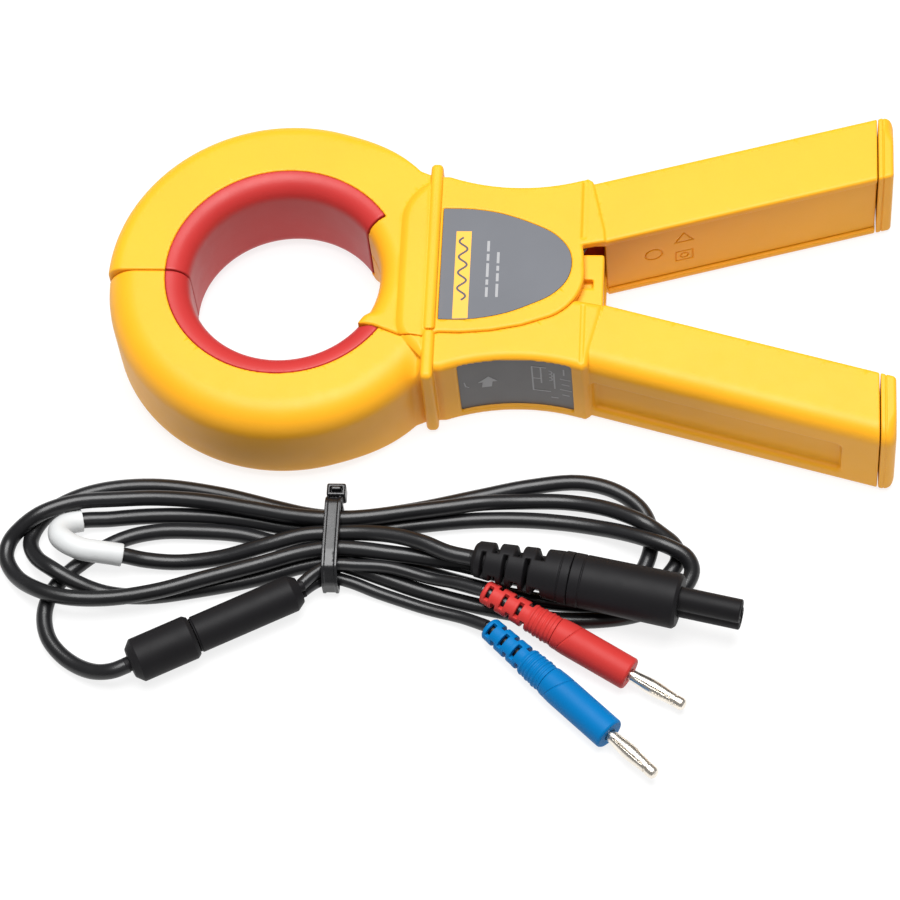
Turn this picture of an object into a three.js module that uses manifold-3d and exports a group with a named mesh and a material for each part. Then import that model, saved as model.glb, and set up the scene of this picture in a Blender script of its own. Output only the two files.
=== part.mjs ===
// A clip-on current transformer (sensing clamp) with its plug-in test lead.
// Millimetres, +Z up. The clamp lies flat: its jaws are at -X, its two handles point to +X, and the
// lead lies in front of it, at -Y. The clamp is drawn about the centre of its jaw bore and moved
// by BORE_X at the end, so that the part's origin is under the middle of the clamp.
import * as THREE from "three";
import { mergeVertices } from "three/addons/utils/BufferGeometryUtils.js";
import Module from "manifold-3d";

const wasm = await Module();
wasm.setup();

// ---- Driving dimensions -------------------------------------------------------------------------

const BORE_X = -59; // the bore's centre in the part's frame
const GAP = 0.3; // play between two pieces that meet
const THICKNESS = 28.7; // clamp body, front face to rear face
const WALL = 2.4; // moulded wall
const PLATE = 3.2; // the plate of one half that laps over the other half

const RING_RADIUS = 49; // outside of the jaw ring
const LINER_RADIUS = 32.6; // where the liner's flange meets the yellow shell
const BORE_RADIUS = 26.2; // jaw bore
const RING_FRONT_ROUND = 8.5; // rounding of the ring's outer edge, front
const RING_REAR_ROUND = 4.5; // and rear
const THROAT_ANGLE = 33; // degrees either side of +X where the bore wall is yellow

const PIVOT_X = 67; // hinge axis, vertical
const SHIELD_RADIUS = 15.7; // the lapping plate's edge about the hinge axis
const LUG_INNER = 16.1; // guide lug about the hinge axis
const LUG_OUTER = 20.8;
const LUG_HEIGHT = 4.4;

const GUARD_X = 41; // middle of the finger guard
const GUARD_WIDTH = 3.4;
const GUARD_REACH = 34.5; // half of the guard's length
const GUARD_RISE = 1.4; // above the front face

const WAIST_ARC_X = 64.5; // centre of the concave side's arc
const WAIST_ARC_Y = 85.4;
const WAIST_ARC_RADIUS = 58;
const SHOULDER_X = 84.4; // where the waist ends

const HANDLE_ANGLE = 15.6; // degrees from the X axis
const HANDLE_ROOT = [88.3, 9.9]; // inner root corner
const HANDLE_WIDTH = 19.6;
const HANDLE_DROP = 0.5; // the grip's front face lies this far below the waist's
const HANDLE_OUTER_ROUND = 5;
const HANDLE_END_X = 167;
const CAP_X = 162.8; // where the end cap begins

const LEAD_DIAMETER = 4.4;
const THIN_LEAD_DIAMETER = 3.4;

const MIDDLE = THICKNESS / 2;
const COLOURS = {
  yellow: 0xf7b917,
  red: 0xd8353b,
  black: 0x17171a,
  blue: 0x1266c8,
  white: 0xe8e8e6,
  grey: 0x85858c,
  dark: 0x4b494f,
  steel: 0xb9bbbe,
  copper: 0xb06a3a,
  brass: 0xc8a24b,
  board: 0x2f6b46,
};

// ---- Solids -------------------------------------------------------------------------------------

function solid(geometry) {
  const bare = geometry.clone();
  bare.deleteAttribute("normal");
  bare.deleteAttribute("uv");
  const merged = mergeVertices(bare, 1e-3);
  return new wasm.Manifold(
    new wasm.Mesh({
      numProp: 3,
      vertProperties: merged.attributes.position.array,
      triVerts: new Uint32Array(merged.index.array),
    }),
  );
}

function geometryOf(manifold) {
  const mesh = manifold.getMesh();
  const geometry = new THREE.BufferGeometry();
  geometry.setAttribute("position", new THREE.BufferAttribute(mesh.vertProperties, 3));
  geometry.setIndex(new THREE.BufferAttribute(mesh.triVerts, 1));
  const faceted = geometry.toNonIndexed();
  faceted.computeVertexNormals();
  return faceted;
}

const union = (...parts) => parts.reduce((sum, part) => sum.add(part));
const degrees = (angle) => (angle * Math.PI) / 180;

// A point at a radius and an angle in degrees about (x, y).
function polar(radius, angle, x = 0, y = 0) {
  return [x + radius * Math.cos(degrees(angle)), y + radius * Math.sin(degrees(angle))];
}

function arc(radius, from, to, steps, x = 0, y = 0) {
  const points = [];
  for (let i = 0; i <= steps; i += 1) {
    points.push(polar(radius, from + ((to - from) * i) / steps, x, y));
  }
  return points;
}

const shapeOf = (points) => new THREE.Shape(points.map(([x, y]) => new THREE.Vector2(x, y)));

// A plan outline as a slab from one height to another.
function prism(points, low, high) {
  const geometry = new THREE.ExtrudeGeometry(shapeOf(points), {
    depth: high - low,
    bevelEnabled: false,
  });
  geometry.translate(0, 0, low);
  return solid(geometry);
}

// A closed profile of [radius, height] points turned about the Z axis at (x, y).
function turned(profile, segments = 48, x = 0, y = 0) {
  const points = profile.map(([radius, height]) => new THREE.Vector2(radius, height));
  const geometry = new THREE.LatheGeometry(points, segments);
  geometry.rotateX(Math.PI / 2);
  geometry.translate(x, y, 0);
  const made = solid(geometry);
  if (made.volume() > 0) return made;
  const reversed = new THREE.LatheGeometry([...points].reverse(), segments);
  reversed.rotateX(Math.PI / 2);
  reversed.translate(x, y, 0);
  return solid(reversed);
}

function cylinder(radius, low, high, x = 0, y = 0, segments = 32) {
  const profile = [
    [0, low],
    [radius, low],
    [radius, high],
    [0, high],
  ];
  return turned(profile, segments, x, y);
}

function washer(inner, outer, low, high, x = 0, y = 0, segments = 32) {
  const profile = [
    [inner, low],
    [outer, low],
    [outer, high],
    [inner, high],
    [inner, low],
  ];
  return turned(profile, segments, x, y);
}

// A sector from one angle to another, wide enough to cut any ring of the part.
function sector(from, to, low, high, radius = 90, x = 0, y = 0) {
  const steps = Math.max(2, Math.ceil(Math.abs(to - from) / 15));
  return prism([[x, y], ...arc(radius, from, to, steps, x, y)], low, high);
}

function box(x0, y0, z0, x1, y1, z1) {
  const geometry = new THREE.BoxGeometry(x1 - x0, y1 - y0, z1 - z0);
  geometry.translate((x0 + x1) / 2, (y0 + y1) / 2, (z0 + z1) / 2);
  return solid(geometry);
}

// Rounds the corner of a section from one point to another by a quarter circle.
function roundedCorner(centreX, centreY, radius, from, to, steps = 3) {
  return arc(radius, from, to, steps, centreX, centreY);
}

// The open path moved sideways by a distance, to its left when that is positive.
function besides(points, distance) {
  return points.map(([x, y], i) => {
    const [ax, ay] = points[Math.max(i - 1, 0)];
    const [bx, by] = points[Math.min(i + 1, points.length - 1)];
    const length = Math.hypot(bx - ax, by - ay);
    return [x - ((by - ay) / length) * distance, y + ((bx - ax) / length) * distance];
  });
}

const mirrored = (points) => points.map(([x, y]) => [x, -y]).reverse();

// ---- One half of the clamp ----------------------------------------------------------------------
// Both halves are the same moulding, one of them turned over about the X axis. Each is drawn here on
// the +Y side, with its lapping plate at the front (+Z).

// The edge of the lapping plate, from the bore to the handle's root.
function lapEdge() {
  return [
    [21.5, -16.4],
    [25.5, -17.1],
    [33.3, -20.3],
    [39.1, -21.2],
    [43.5, -19.3],
    [49.6, -19.4],
    [57.7, -18.7],
    [66, -17],
    ...arc(SHIELD_RADIUS, -64, 4, 7, PIVOT_X, 0),
    [82.3, 6.9],
    [81.7, 9.9],
    HANDLE_ROOT,
  ];
}

const insideLap = (edge) => [...edge, [HANDLE_ROOT[0], 24], [21.5, 24]];

// The room that each half leaves for the other half's lapping plate.
const lapRoom = () => insideLap(besides(lapEdge(), -GAP));
const frontLapRoom = () => prism(lapRoom(), THICKNESS - PLATE - GAP, THICKNESS + 3);
const rearLapRoom = () => prism(mirrored(lapRoom()), -3, PLATE + GAP);

function ringProfile(frontRound, rearRound) {
  const outer = RING_RADIUS;
  return [
    [BORE_RADIUS + 0.2, 0],
    ...roundedCorner(outer - rearRound, rearRound, rearRound, -90, 0),
    ...roundedCorner(outer - frontRound, THICKNESS - frontRound, frontRound, 0, 90, 4),
    [BORE_RADIUS + 0.2, THICKNESS],
    [BORE_RADIUS + 0.2, 0],
  ];
}

function ringCavityProfile(frontRound, rearRound) {
  const outer = RING_RADIUS - WALL;
  const front = frontRound - WALL;
  const rear = Math.max(rearRound - WALL, 1);
  return [
    [10, WALL],
    ...roundedCorner(outer - rear, WALL + rear, rear, -90, 0, 2),
    ...roundedCorner(outer - front, THICKNESS - WALL - front, front, 0, 90, 3),
    [10, THICKNESS - WALL],
    [10, WALL],
  ];
}

// The waist's concave side, from the guard to the shoulder.
function waistSide(inset = 0) {
  return arc(WAIST_ARC_RADIUS + inset, -110, -71.5, 8, WAIST_ARC_X, WAIST_ARC_Y);
}

function waist() {
  const outline = [[38, 0.2], ...[[HANDLE_ROOT[0], 9.9]], [88, 13.4], [SHOULDER_X, 29.4]];
  const side = waistSide().reverse();
  return prism([...outline, ...side, [38, 31]], 0, THICKNESS);
}

function waistCavity() {
  const side = waistSide(WALL).reverse();
  const outline = [[36, -40], [96, -40], [96, 26.2], [82, 26.2]];
  return prism([...outline, ...side, [36, 26.5]], PLATE + GAP, THICKNESS - WALL);
}

// A section across the handle, [distance out from the inner face, height], run along the handle.
function alongHandle(section, from, to) {
  const geometry = new THREE.ExtrudeGeometry(shapeOf(section), {
    depth: to - from,
    bevelEnabled: false,
  });
  geometry.rotateX(Math.PI / 2);
  geometry.rotateZ(Math.PI / 2);
  geometry.translate(from, 0, 0);
  geometry.rotateZ(degrees(HANDLE_ANGLE));
  geometry.translate(HANDLE_ROOT[0], HANDLE_ROOT[1], 0);
  return solid(geometry);
}

const HANDLE_LENGTH = (HANDLE_END_X - HANDLE_ROOT[0]) / Math.cos(degrees(HANDLE_ANGLE));

function handleSection(front, rear, round) {
  return [
    [0, rear],
    ...roundedCorner(HANDLE_WIDTH - round, rear + round, round, -90, 0),
    ...roundedCorner(HANDLE_WIDTH - round, front - round, round, 0, 90),
    [0, front],
  ];
}

// The whole handle, cut square to the X axis at its end.
function handleBar(frontFace, rearFace) {
  const section = handleSection(frontFace, rearFace, HANDLE_OUTER_ROUND);
  const bar = alongHandle(section, 0, HANDLE_LENGTH + 12);
  return bar.intersect(box(60, -10, -1, HANDLE_END_X, 70, THICKNESS + 1));
}

const HANDLE_CAVITY_WIDTH = 15;

function handleShell(frontFace, rearFace) {
  const low = rearFace + WALL;
  const high = frontFace - WALL;
  const hollow = [[-1, low], [HANDLE_CAVITY_WIDTH, low], [HANDLE_CAVITY_WIDTH, high], [-1, high]];
  const groove = [
    [HANDLE_WIDTH - 2, 5],
    [HANDLE_WIDTH + 3, 4],
    [HANDLE_WIDTH + 3, 16.5],
    [HANDLE_WIDTH - 2, 15.5],
  ];
  return handleBar(frontFace, rearFace)
    .subtract(alongHandle(hollow, -8, HANDLE_LENGTH + 20))
    .subtract(alongHandle(groove, 6, HANDLE_LENGTH - 10))
    .subtract(box(CAP_X - GAP, 0, -1, 200, 70, THICKNESS + 1));
}

// The guard's collar round this half: up the side, and along the face that this half's plate holds.
function guard(frontRise, rearRise) {
  const x0 = GUARD_X - GUARD_WIDTH / 2;
  const x1 = GUARD_X + GUARD_WIDTH / 2;
  const side = box(x0, 28.5, -rearRise, x1, GUARD_REACH, THICKNESS + frontRise);
  const front = box(x0, -19, THICKNESS - PLATE, x1, 30, THICKNESS + frontRise);
  const rear = box(x0, 19.3 + GAP, -rearRise, x1, 30, WALL);
  return union(side, front, rear);
}

// The round eye of the lapping plate that turns about the hinge pin.
function hub() {
  const height = THICKNESS - PLATE;
  return cylinder(7.4, height - 5.3, height + 0.5, PIVOT_X, 0);
}

// The curved guide that runs from this half's handle root into the other half's handle root.
function guideLug() {
  const low = PLATE + 2 * GAP;
  const ring = washer(LUG_INNER, LUG_OUTER, low, low + LUG_HEIGHT, PIVOT_X, 0, 60);
  const root = washer(17.9, LUG_OUTER, 0.6, low + LUG_HEIGHT, PIVOT_X, 0, 60);
  const reach = ring.intersect(sector(-26, 58, low - 1, low + LUG_HEIGHT + 1, 30, PIVOT_X, 0));
  return reach.add(root.intersect(sector(38, 58, 0, low + LUG_HEIGHT + 1, 30, PIVOT_X, 0)));
}

function halfShell({ frontRound, rearRound, frontRise, rearRise, frontDrop, rearDrop }) {
  const all = [-1, THICKNESS + 1];
  const upperSide = box(-60, 0.15, -1, 60, 60, THICKNESS + 1);
  const ring = turned(ringProfile(frontRound, rearRound), 72).intersect(upperSide);
  const ringCavity = turned(ringCavityProfile(frontRound, rearRound), 72);
  const linerSpace = cylinder(LINER_RADIUS + GAP, ...all, 0, 0, 72).intersect(
    sector(THROAT_ANGLE, 184, ...all),
  );
  const handle = handleShell(THICKNESS - frontDrop, rearDrop);
  const lap = prism(insideLap(lapEdge()), THICKNESS - PLATE, THICKNESS);
  const bore = cylinder(BORE_RADIUS + 0.2, ...all, 0, 0, 72);
  const throatLip = washer(BORE_RADIUS + 0.2, 29, MIDDLE + GAP, THICKNESS, 0, 0, 72).intersect(
    sector(-THROAT_ANGLE + 1, THROAT_ANGLE, ...all),
  );
  return ring
    .add(waist())
    .subtract(linerSpace)
    .subtract(ringCavity)
    .subtract(waistCavity())
    .add(guard(frontRise, rearRise))
    .add(handle)
    .subtract(rearLapRoom())
    .add(lap.subtract(bore).subtract(linerSpace))
    .add(throatLip)
    .add(hub())
    .add(guideLug())
    .subtract(cylinder(4.3, THICKNESS - PLATE - 6, THICKNESS - 1.9, PIVOT_X, 0));
}

// ---- What each half holds -----------------------------------------------------------------------

// The half of a full ring that lies on one side of the jaw seam, from one angle to another.
function ringPiece(ring, from, to) {
  const piece = ring.intersect(sector(from, to, -1, THICKNESS + 1));
  const side = from + to > 0 ? 1 : -1;
  const seam = side > 0 ? box(-60, 0.2, -1, 60, 60, 40) : box(-60, -60, -1, 60, -0.2, 40);
  return piece.intersect(seam);
}

// The red liner: a channel that closes the jaw's inner side, rolled over at the front and rear edges.
function linerRing() {
  const lip = 5.8;
  const foot = 4.6;
  const flange = 2.2;
  const back = BORE_RADIUS + 2.6;
  const profile = [
    [LINER_RADIUS, THICKNESS],
    ...roundedCorner(BORE_RADIUS + lip, THICKNESS - lip, lip, 90, 180, 4),
    ...roundedCorner(BORE_RADIUS + foot, foot, foot, 180, 270, 3),
    [LINER_RADIUS, 0],
    [LINER_RADIUS, flange],
    [back, flange + 2],
    [back, THICKNESS - flange - 2],
    [LINER_RADIUS, THICKNESS - flange],
    [LINER_RADIUS, THICKNESS],
  ];
  return turned(profile, 72);
}

const CORE = { inner: 35.5, outer: 43.5, low: 7.5, high: 21.2 };
const WINDING = { inner: 32, outer: 45, low: 5.4, high: 23.4, spread: 42 };

const coreRing = () => washer(CORE.inner, CORE.outer, CORE.low, CORE.high, 0, 0, 60);

function windingRing() {
  const outside = washer(WINDING.inner, WINDING.outer, WINDING.low, WINDING.high, 0, 0, 60);
  const hole = washer(
    CORE.inner - GAP,
    CORE.outer + GAP,
    CORE.low - GAP,
    CORE.high + GAP,
    0,
    0,
    60,
  );
  return outside.subtract(hole);
}

// The flat strip that closes the handle's inner side.
function handlePanel(frontFace, rearFace) {
  const inset = 0.9;
  const low = rearFace + WALL + GAP;
  const high = frontFace - WALL - GAP;
  const section = [
    [inset, low],
    [inset + 2, low],
    [inset + 2, high],
    [inset, high],
  ];
  return alongHandle(section, 1.2, 76);
}

// The moulded cap that closes the handle's end, with its outer corner rounded and a plug inside.
function handleCap(frontFace, rearFace) {
  const corner = 3.6;
  const outerY = HANDLE_ROOT[1] + 42.1;
  const plan = [
    [CAP_X, 10],
    [HANDLE_END_X, 10],
    ...arc(corner, 0, 90, 3, HANDLE_END_X - corner, outerY - corner),
    [CAP_X, 70],
  ];
  const plug = [
    [3.4, rearFace + WALL + GAP],
    [HANDLE_CAVITY_WIDTH - GAP, rearFace + WALL + GAP],
    [HANDLE_CAVITY_WIDTH - GAP, frontFace - WALL - GAP],
    [3.4, frontFace - WALL - GAP],
  ];
  const plugBar = alongHandle(plug, 70, HANDLE_LENGTH + 6);
  return handleBar(frontFace, rearFace)
    .intersect(prism(plan, -1, THICKNESS + 1))
    .add(plugBar.intersect(box(150, 0, -1, CAP_X + 1, 70, THICKNESS + 1)));
}

// ---- The socket in the lower handle's end -------------------------------------------------------

const SOCKET = { middle: 9.2, low: 12.6, high: 16.6, lobe: 3.6, pin: 0.6, face: HANDLE_END_X - 0.4 };

function socketOutline(margin = 0) {
  const width = SOCKET.lobe + 1.4 + margin;
  const low = SOCKET.low - width;
  const high = SOCKET.high + width;
  const left = SOCKET.middle - width;
  const right = SOCKET.middle + width;
  return [
    [left, low],
    [right, low],
    [right, high],
    [left, high],
  ];
}

const lobes = (radius, steps, from, to) =>
  [SOCKET.low, SOCKET.high].map((height) =>
    alongHandle(arc(radius, 0, 330, steps, SOCKET.middle, height), from, to),
  );

const SOCKET_BACK = 66;
const SOCKET_FLOOR = 68.5;

function socketBody() {
  const inFront = box(100, 0, -1, SOCKET.face, 70, THICKNESS + 1);
  const web = [
    [SOCKET.middle - 2.2, SOCKET.low],
    [SOCKET.middle + 2.2, SOCKET.low],
    [SOCKET.middle + 2.2, SOCKET.high],
    [SOCKET.middle - 2.2, SOCKET.high],
  ];
  const recess = union(...lobes(SOCKET.lobe, 11, SOCKET_FLOOR, 95))
    .add(alongHandle(web, SOCKET_FLOOR, 95));
  return alongHandle(socketOutline(), SOCKET_BACK, 95)
    .intersect(inFront)
    .subtract(recess)
    .subtract(union(...lobes(SOCKET.pin + GAP, 11, 60, 80)));
}

const socketPins = () => lobes(SOCKET.pin, 11, SOCKET_BACK - 3, 74.5);

function burdenBoard() {
  const section = [
    [4, 12],
    [13.6, 12],
    [13.6, 13.6],
    [4, 13.6],
  ];
  return alongHandle(section, 26, 60);
}

// ---- The hinge ----------------------------------------------------------------------------------

function pivotScrew() {
  const profile = [
    [0, 0.5],
    [4, 0.5],
    [4.4, 0.9],
    [4.4, 2.5],
    [2.5, 2.5],
    [2.5, THICKNESS - 2.5],
    [0, THICKNESS - 2.5],
  ];
  const slot = box(PIVOT_X - 3.4, -0.6, 0, PIVOT_X + 3.4, 0.6, 1.5);
  return turned(profile, 24, PIVOT_X, 0).subtract(slot);
}

// A torsion spring about the hinge pin. Its two legs press the handles apart.
function returnSpring() {
  const coil = 6;
  const wire = 0.8;
  const low = 10.3;
  const high = 18.4;
  const start = 30;
  const turn = 1380;
  const leg = 20;
  const points = [];
  const [x0, y0] = polar(coil, start, PIVOT_X, 0);
  const [dx0, dy0] = polar(leg, start - 90);
  points.push([x0 + dx0, y0 + dy0, low], [x0 + dx0 / 2, y0 + dy0 / 2, low]);
  for (let i = 0; i <= 46; i += 1) {
    const share = i / 46;
    points.push([...polar(coil, start + turn * share, PIVOT_X, 0), low + (high - low) * share]);
  }
  const [x1, y1] = polar(coil, start + turn, PIVOT_X, 0);
  const [dx1, dy1] = polar(leg, start + turn + 90);
  points.push([x1 + dx1 / 2, y1 + dy1 / 2, high], [x1 + dx1, y1 + dy1, high]);
  return tube(points, wire, 6);
}

// ---- Labels -------------------------------------------------------------------------------------

function frontLabelOutline(margin = 0) {
  const edge = [
    [43.4, -15.2],
    [49.1, -15.3],
    [54.8, -14.7],
    [61.6, -13.1],
    [68.3, -10.3],
    [73.9, -7.2],
    [77.7, -2.9],
    [79.1, 2.2],
    [78.2, 7.2],
    [74.3, 12],
    [67.3, 15.8],
    [58.9, 18.8],
    [50.9, 20.1],
    [43.4, 20.3],
  ];
  const path = besides(edge, -margin);
  return path.map(([x, y], i) => (i === 0 || i === path.length - 1 ? [x - margin, y] : [x, y]));
}

// The sticker on the lower half's concave side.
function sideLabel(margin, depth, low, high) {
  const from = -107.4 - margin;
  const to = -74.5 + margin;
  const near = arc(WAIST_ARC_RADIUS + depth[0], from, to, 10, WAIST_ARC_X, WAIST_ARC_Y);
  const far = arc(WAIST_ARC_RADIUS + depth[1], from, to, 10, WAIST_ARC_X, WAIST_ARC_Y);
  return prism(mirrored([...near, ...far.reverse()]), low, high);
}

// ---- The test lead ------------------------------------------------------------------------------

// A curve that a tube follows knot by knot.
class KnotCurve extends THREE.CatmullRomCurve3 {
  getPointAt(u, target) {
    return this.getPoint(u, target);
  }

  getTangentAt(u, target) {
    return this.getTangent(u, target);
  }
}

// The part of a curve between two shares of its length in knots.
class Stretch extends THREE.Curve {
  constructor(curve, from, to) {
    super();
    this.curve = curve;
    this.from = from;
    this.to = to;
  }

  getPoint(t, target = new THREE.Vector3()) {
    return this.curve.getPoint(this.from + (this.to - this.from) * t, target);
  }

  getPointAt(u, target) {
    return this.getPoint(u, target);
  }

  getTangentAt(u, target) {
    return this.curve.getTangent(this.from + (this.to - this.from) * u, target);
  }
}

const knotCurve = (points) =>
  new KnotCurve(
    points.map((point) => new THREE.Vector3(...point)),
    false,
    "centripetal",
  );

function tubeAlong(curve, steps, outer, sides, inner = 0) {
  const round = (radius) => shapeOf(arc(radius, 0, 360 - 360 / sides, sides - 1));
  const section = round(outer);
  if (inner > 0) section.holes.push(new THREE.Path(round(inner).getPoints()));
  const geometry = new THREE.ExtrudeGeometry(section, {
    steps,
    bevelEnabled: false,
    extrudePath: curve,
  });
  return solid(geometry);
}

const tube = (points, radius, sides) =>
  tubeAlong(knotCurve(points), points.length - 1, radius, sides);

// A solid drawn up the Z axis from 0, laid along the line from one point to another.
function laid(manifold, from, to) {
  const geometry = geometryOf(manifold);
  const direction = new THREE.Vector3().subVectors(to, from).normalize();
  const across = new THREE.Vector3(-direction.y, direction.x, 0).normalize();
  const above = new THREE.Vector3().crossVectors(across, direction);
  geometry.applyMatrix4(new THREE.Matrix4().makeBasis(above, across, direction));
  geometry.translate(from.x, from.y, from.z);
  return solid(geometry);
}

// A pipe of knots is one strand from the connector, through the tie seven times, to the splitter.
const FLOOR = LEAD_DIAMETER / 2;
const TIE_X = 16;
const MAIN_LEAD = [
  [54.6, -79.9, 12.2],
  [48, -78.2, 11.9],
  [41, -74.9, 11.3],
  [33, -72.1, 10],
  [24, -70.6, 8.6],
  [TIE_X, -70.5, 7.9],
  [8, -71.1, 7.7],
  [-2, -73.6, 6.5],
  [-14, -76, 3.6],
  [-26, -76.9, FLOOR],
  [-35, -76.9, 3.4],
  [-41, -76.7, 5.6],
  [-47, -76.6, 7.3],
  [-52, -76, 7.8],
  [-55.8, -74.2, 7.6],
  [-58.3, -71.8, 6.7],
  [-58.8, -69, 5.4],
  [-57, -66.4, 4],
  [-53.4, -64.8, 3],
  [-46, -63.9, FLOOR],
  [-36, -62.9, FLOOR],
  [-24, -62.6, FLOOR],
  [-10, -63.6, FLOOR],
  [2, -66, 2.6],
  [9, -67.3, 3.4],
  [TIE_X, -68.3, 3.9],
  [24, -67.6, 3.4],
  [38, -65, 2.4],
  [57, -63, FLOOR],
  [76, -63.5, FLOOR],
  [88, -65.9, 3.6],
  [95, -68.4, 5.6],
  [101, -71, 7.2],
  [106.6, -73.4, 7.8],
  [111.6, -76, 6.6],
  [113, -79.4, 4.8],
  [110, -84.6, 3],
  [104, -88.8, FLOOR],
  [97, -91.5, FLOOR],
  [87, -93, FLOOR],
  [76, -92.9, FLOOR],
  [64, -90.9, FLOOR],
  [52, -88.2, FLOOR],
  [40, -84.8, 2.3],
  [29, -81, 2.9],
  [22, -78.7, 3.5],
  [TIE_X, -77.3, 3.9],
  [8, -78.2, 3.2],
  [-4, -81.6, 2.3],
  [-18, -84.8, FLOOR],
  [-34, -87.4, FLOOR],
  [-45, -86.8, 2.6],
  [-53, -84.9, 5.2],
  [-59.6, -81.6, 6.7],
  [-64.6, -77.2, 4.8],
  [-67, -71.8, 2.8],
  [-65.8, -66.4, FLOOR],
  [-61.8, -61.2, FLOOR],
  [-55, -57, FLOOR],
  [-46, -54.4, FLOOR],
  [-33, -53.6, FLOOR],
  [-16, -56, FLOOR],
  [0, -60.2, 2.4],
  [8, -62.5, 3.2],
  [TIE_X, -63.8, 3.9],
  [24, -63.2, 3.4],
  [38, -60.2, 2.4],
  [55, -55.9, FLOOR],
  [68, -52.8, FLOOR],
  [82, -51.2, FLOOR],
  [92, -53.8, FLOOR],
  [99, -59.4, FLOOR],
  [101.8, -66.8, FLOOR],
  [101.2, -74, FLOOR],
  [98.4, -79.6, FLOOR],
  [91, -83.2, FLOOR],
  [80, -83.4, FLOOR],
  [67, -80.8, FLOOR],
  [60, -79.6, 3],
  [54, -78.8, 5],
  [47, -78, 6.6],
  [40, -77, 7],
  [31, -75.9, 7.2],
  [23, -75.2, 7.8],
  [TIE_X, -75.05, 7.9],
  [8, -76.2, 7.4],
  [-4, -79.8, 6.8],
  [-18, -84, 6.6],
  [-31, -88, 6.5],
  [-44, -90.2, 6.4],
  [-55, -90.2, 6.8],
  [-63, -87.6, 6],
  [-70, -82, 2.8],
  [-73.4, -76, FLOOR],
  [-72.8, -71.4, 2.8],
  [-69.2, -68, 5.2],
  [-64.8, -65.2, 6.9],
  [-60, -62.8, 7],
  [-54, -60.9, 6.7],
  [-44, -59.8, 6.2],
  [-33, -59.2, 6],
  [-20, -60.2, 6.3],
  [-7, -62.6, 6.8],
  [5, -65, 7.4],
  [TIE_X, -66.05, 7.9],
  [24, -65.4, 7.5],
  [38, -62.7, 6.4],
  [47, -61.1, 5.9],
  [56, -59.3, 5.1],
  [66, -57.9, 3.4],
  [78, -57.5, 2.6],
  [88, -59.8, 4.2],
  [95, -63, 6],
  [100.6, -66.2, 6.8],
  [104.6, -68.4, 5.2],
  [108.2, -70.8, 3.2],
  [109.2, -74.4, 2.4],
  [106.8, -79, FLOOR],
  [102.2, -83.8, FLOOR],
  [96, -87, FLOOR],
  [86, -88.4, FLOOR],
  [74, -87.6, FLOOR],
  [62, -85.3, FLOOR],
  [50, -82, FLOOR],
  [38, -78.2, FLOOR],
  [27, -74.8, 2.8],
  [TIE_X, -72.8, 3.9],
  [8, -71.8, 2.9],
  [0, -70.6, FLOOR],
  [-10, -68.2, FLOOR],
  [-22, -67.4, FLOOR],
  [-32, -67.6, FLOOR],
  [-40, -69.4, FLOOR],
  [-47, -73, FLOOR],
  [-52.5, -77.4, FLOOR],
  [-57, -82, FLOOR],
  [-60.2, -87.4, FLOOR],
  [-61.2, -93.6, FLOOR],
  [-59.6, -100, FLOOR],
  [-56, -104.8, FLOOR],
  [-51, -108.6, 2.6],
  [-45.6, -111, 4],
  [-40.6, -111.4, 5.6],
  [-36.4, -109.8, 6.1],
];
const SLEEVE_FROM = 11; // knots of the main lead between which the white sleeve lies
const SLEEVE_TO = 18;

const RED_LEAD = [
  [8.6, -86.2, 7.9],
  [11.5, -83.2, 7.9],
  [TIE_X, -79.9, 7.4],
  [23, -79.7, 7.1],
  [32, -80.1, 6.7],
  [43, -83, 6.2],
  [51, -85.3, 7.8],
  [57.6, -87.8, 9],
];
const BLUE_LEAD = [
  [8.6, -86.4, 4.3],
  [12, -83.4, 3.8],
  [TIE_X, -81.7, 3.3],
  [21, -82.6, 2.8],
  [29, -85.4, 1.8],
  [42, -89.9, 1.8],
  [52, -93, 2.8],
  [58.8, -96.2, 4.4],
];

const vector = ([x, y, z]) => new THREE.Vector3(x, y, z);

const SPLITTER = { from: vector([-36, -109.5, 6.2]), to: vector([8.1, -86.9, 6.2]), collar: 18.6 };
const CONNECTOR = { from: vector([54.9, -79.9, 12.3]), to: vector([126.3, -95.9, 12.3]) };
const RED_PLUG = { from: vector([58, -88, 9]), to: vector([111.8, -118.3, 3.1]) };
const BLUE_PLUG = { from: vector([59.3, -96.7, 4.5]), to: vector([104.6, -139, 4.5]) };

// A profile of [radius, height] points from the axis back to the axis.
const lathe = (profile, segments) => turned(profile, segments);

function splitterCollar() {
  const length = SPLITTER.collar;
  return lathe([[0, 0], [4.6, 0], [6.1, 1.6], [6.1, length - 0.8], [5.4, length], [0, length]], 20);
}

function splitterBarrel(length) {
  const start = SPLITTER.collar + GAP;
  return lathe([[0, start], [5.1, start], [5.1, length - 2], [3.6, length], [0, length]], 20);
}

function ribbedBoot(start, end, length, rings, base) {
  const profile = [[0, 0]];
  const pitch = (length - base) / rings;
  for (let i = 0; i < rings; i += 1) {
    const radius = start + ((end - start) * (i + 1)) / (rings + 1);
    const z = i * pitch;
    profile.push([radius, z], [radius, z + pitch * 0.62]);
    profile.push([radius - 0.8, z + pitch * 0.62], [radius - 0.8, z + pitch]);
  }
  profile.push([end - 0.3, length - base], [end, length], [0, length]);
  return lathe(profile, 16);
}

const CONNECTOR_BOOT = 27;
const CONNECTOR_BODY = 56.6;
const CONNECTOR_LENGTH = 73.2;
const NOSE_LOBE = 3.2;
const NOSE_SPACING = 2; // each lobe's distance from the axis, up or down

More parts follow.
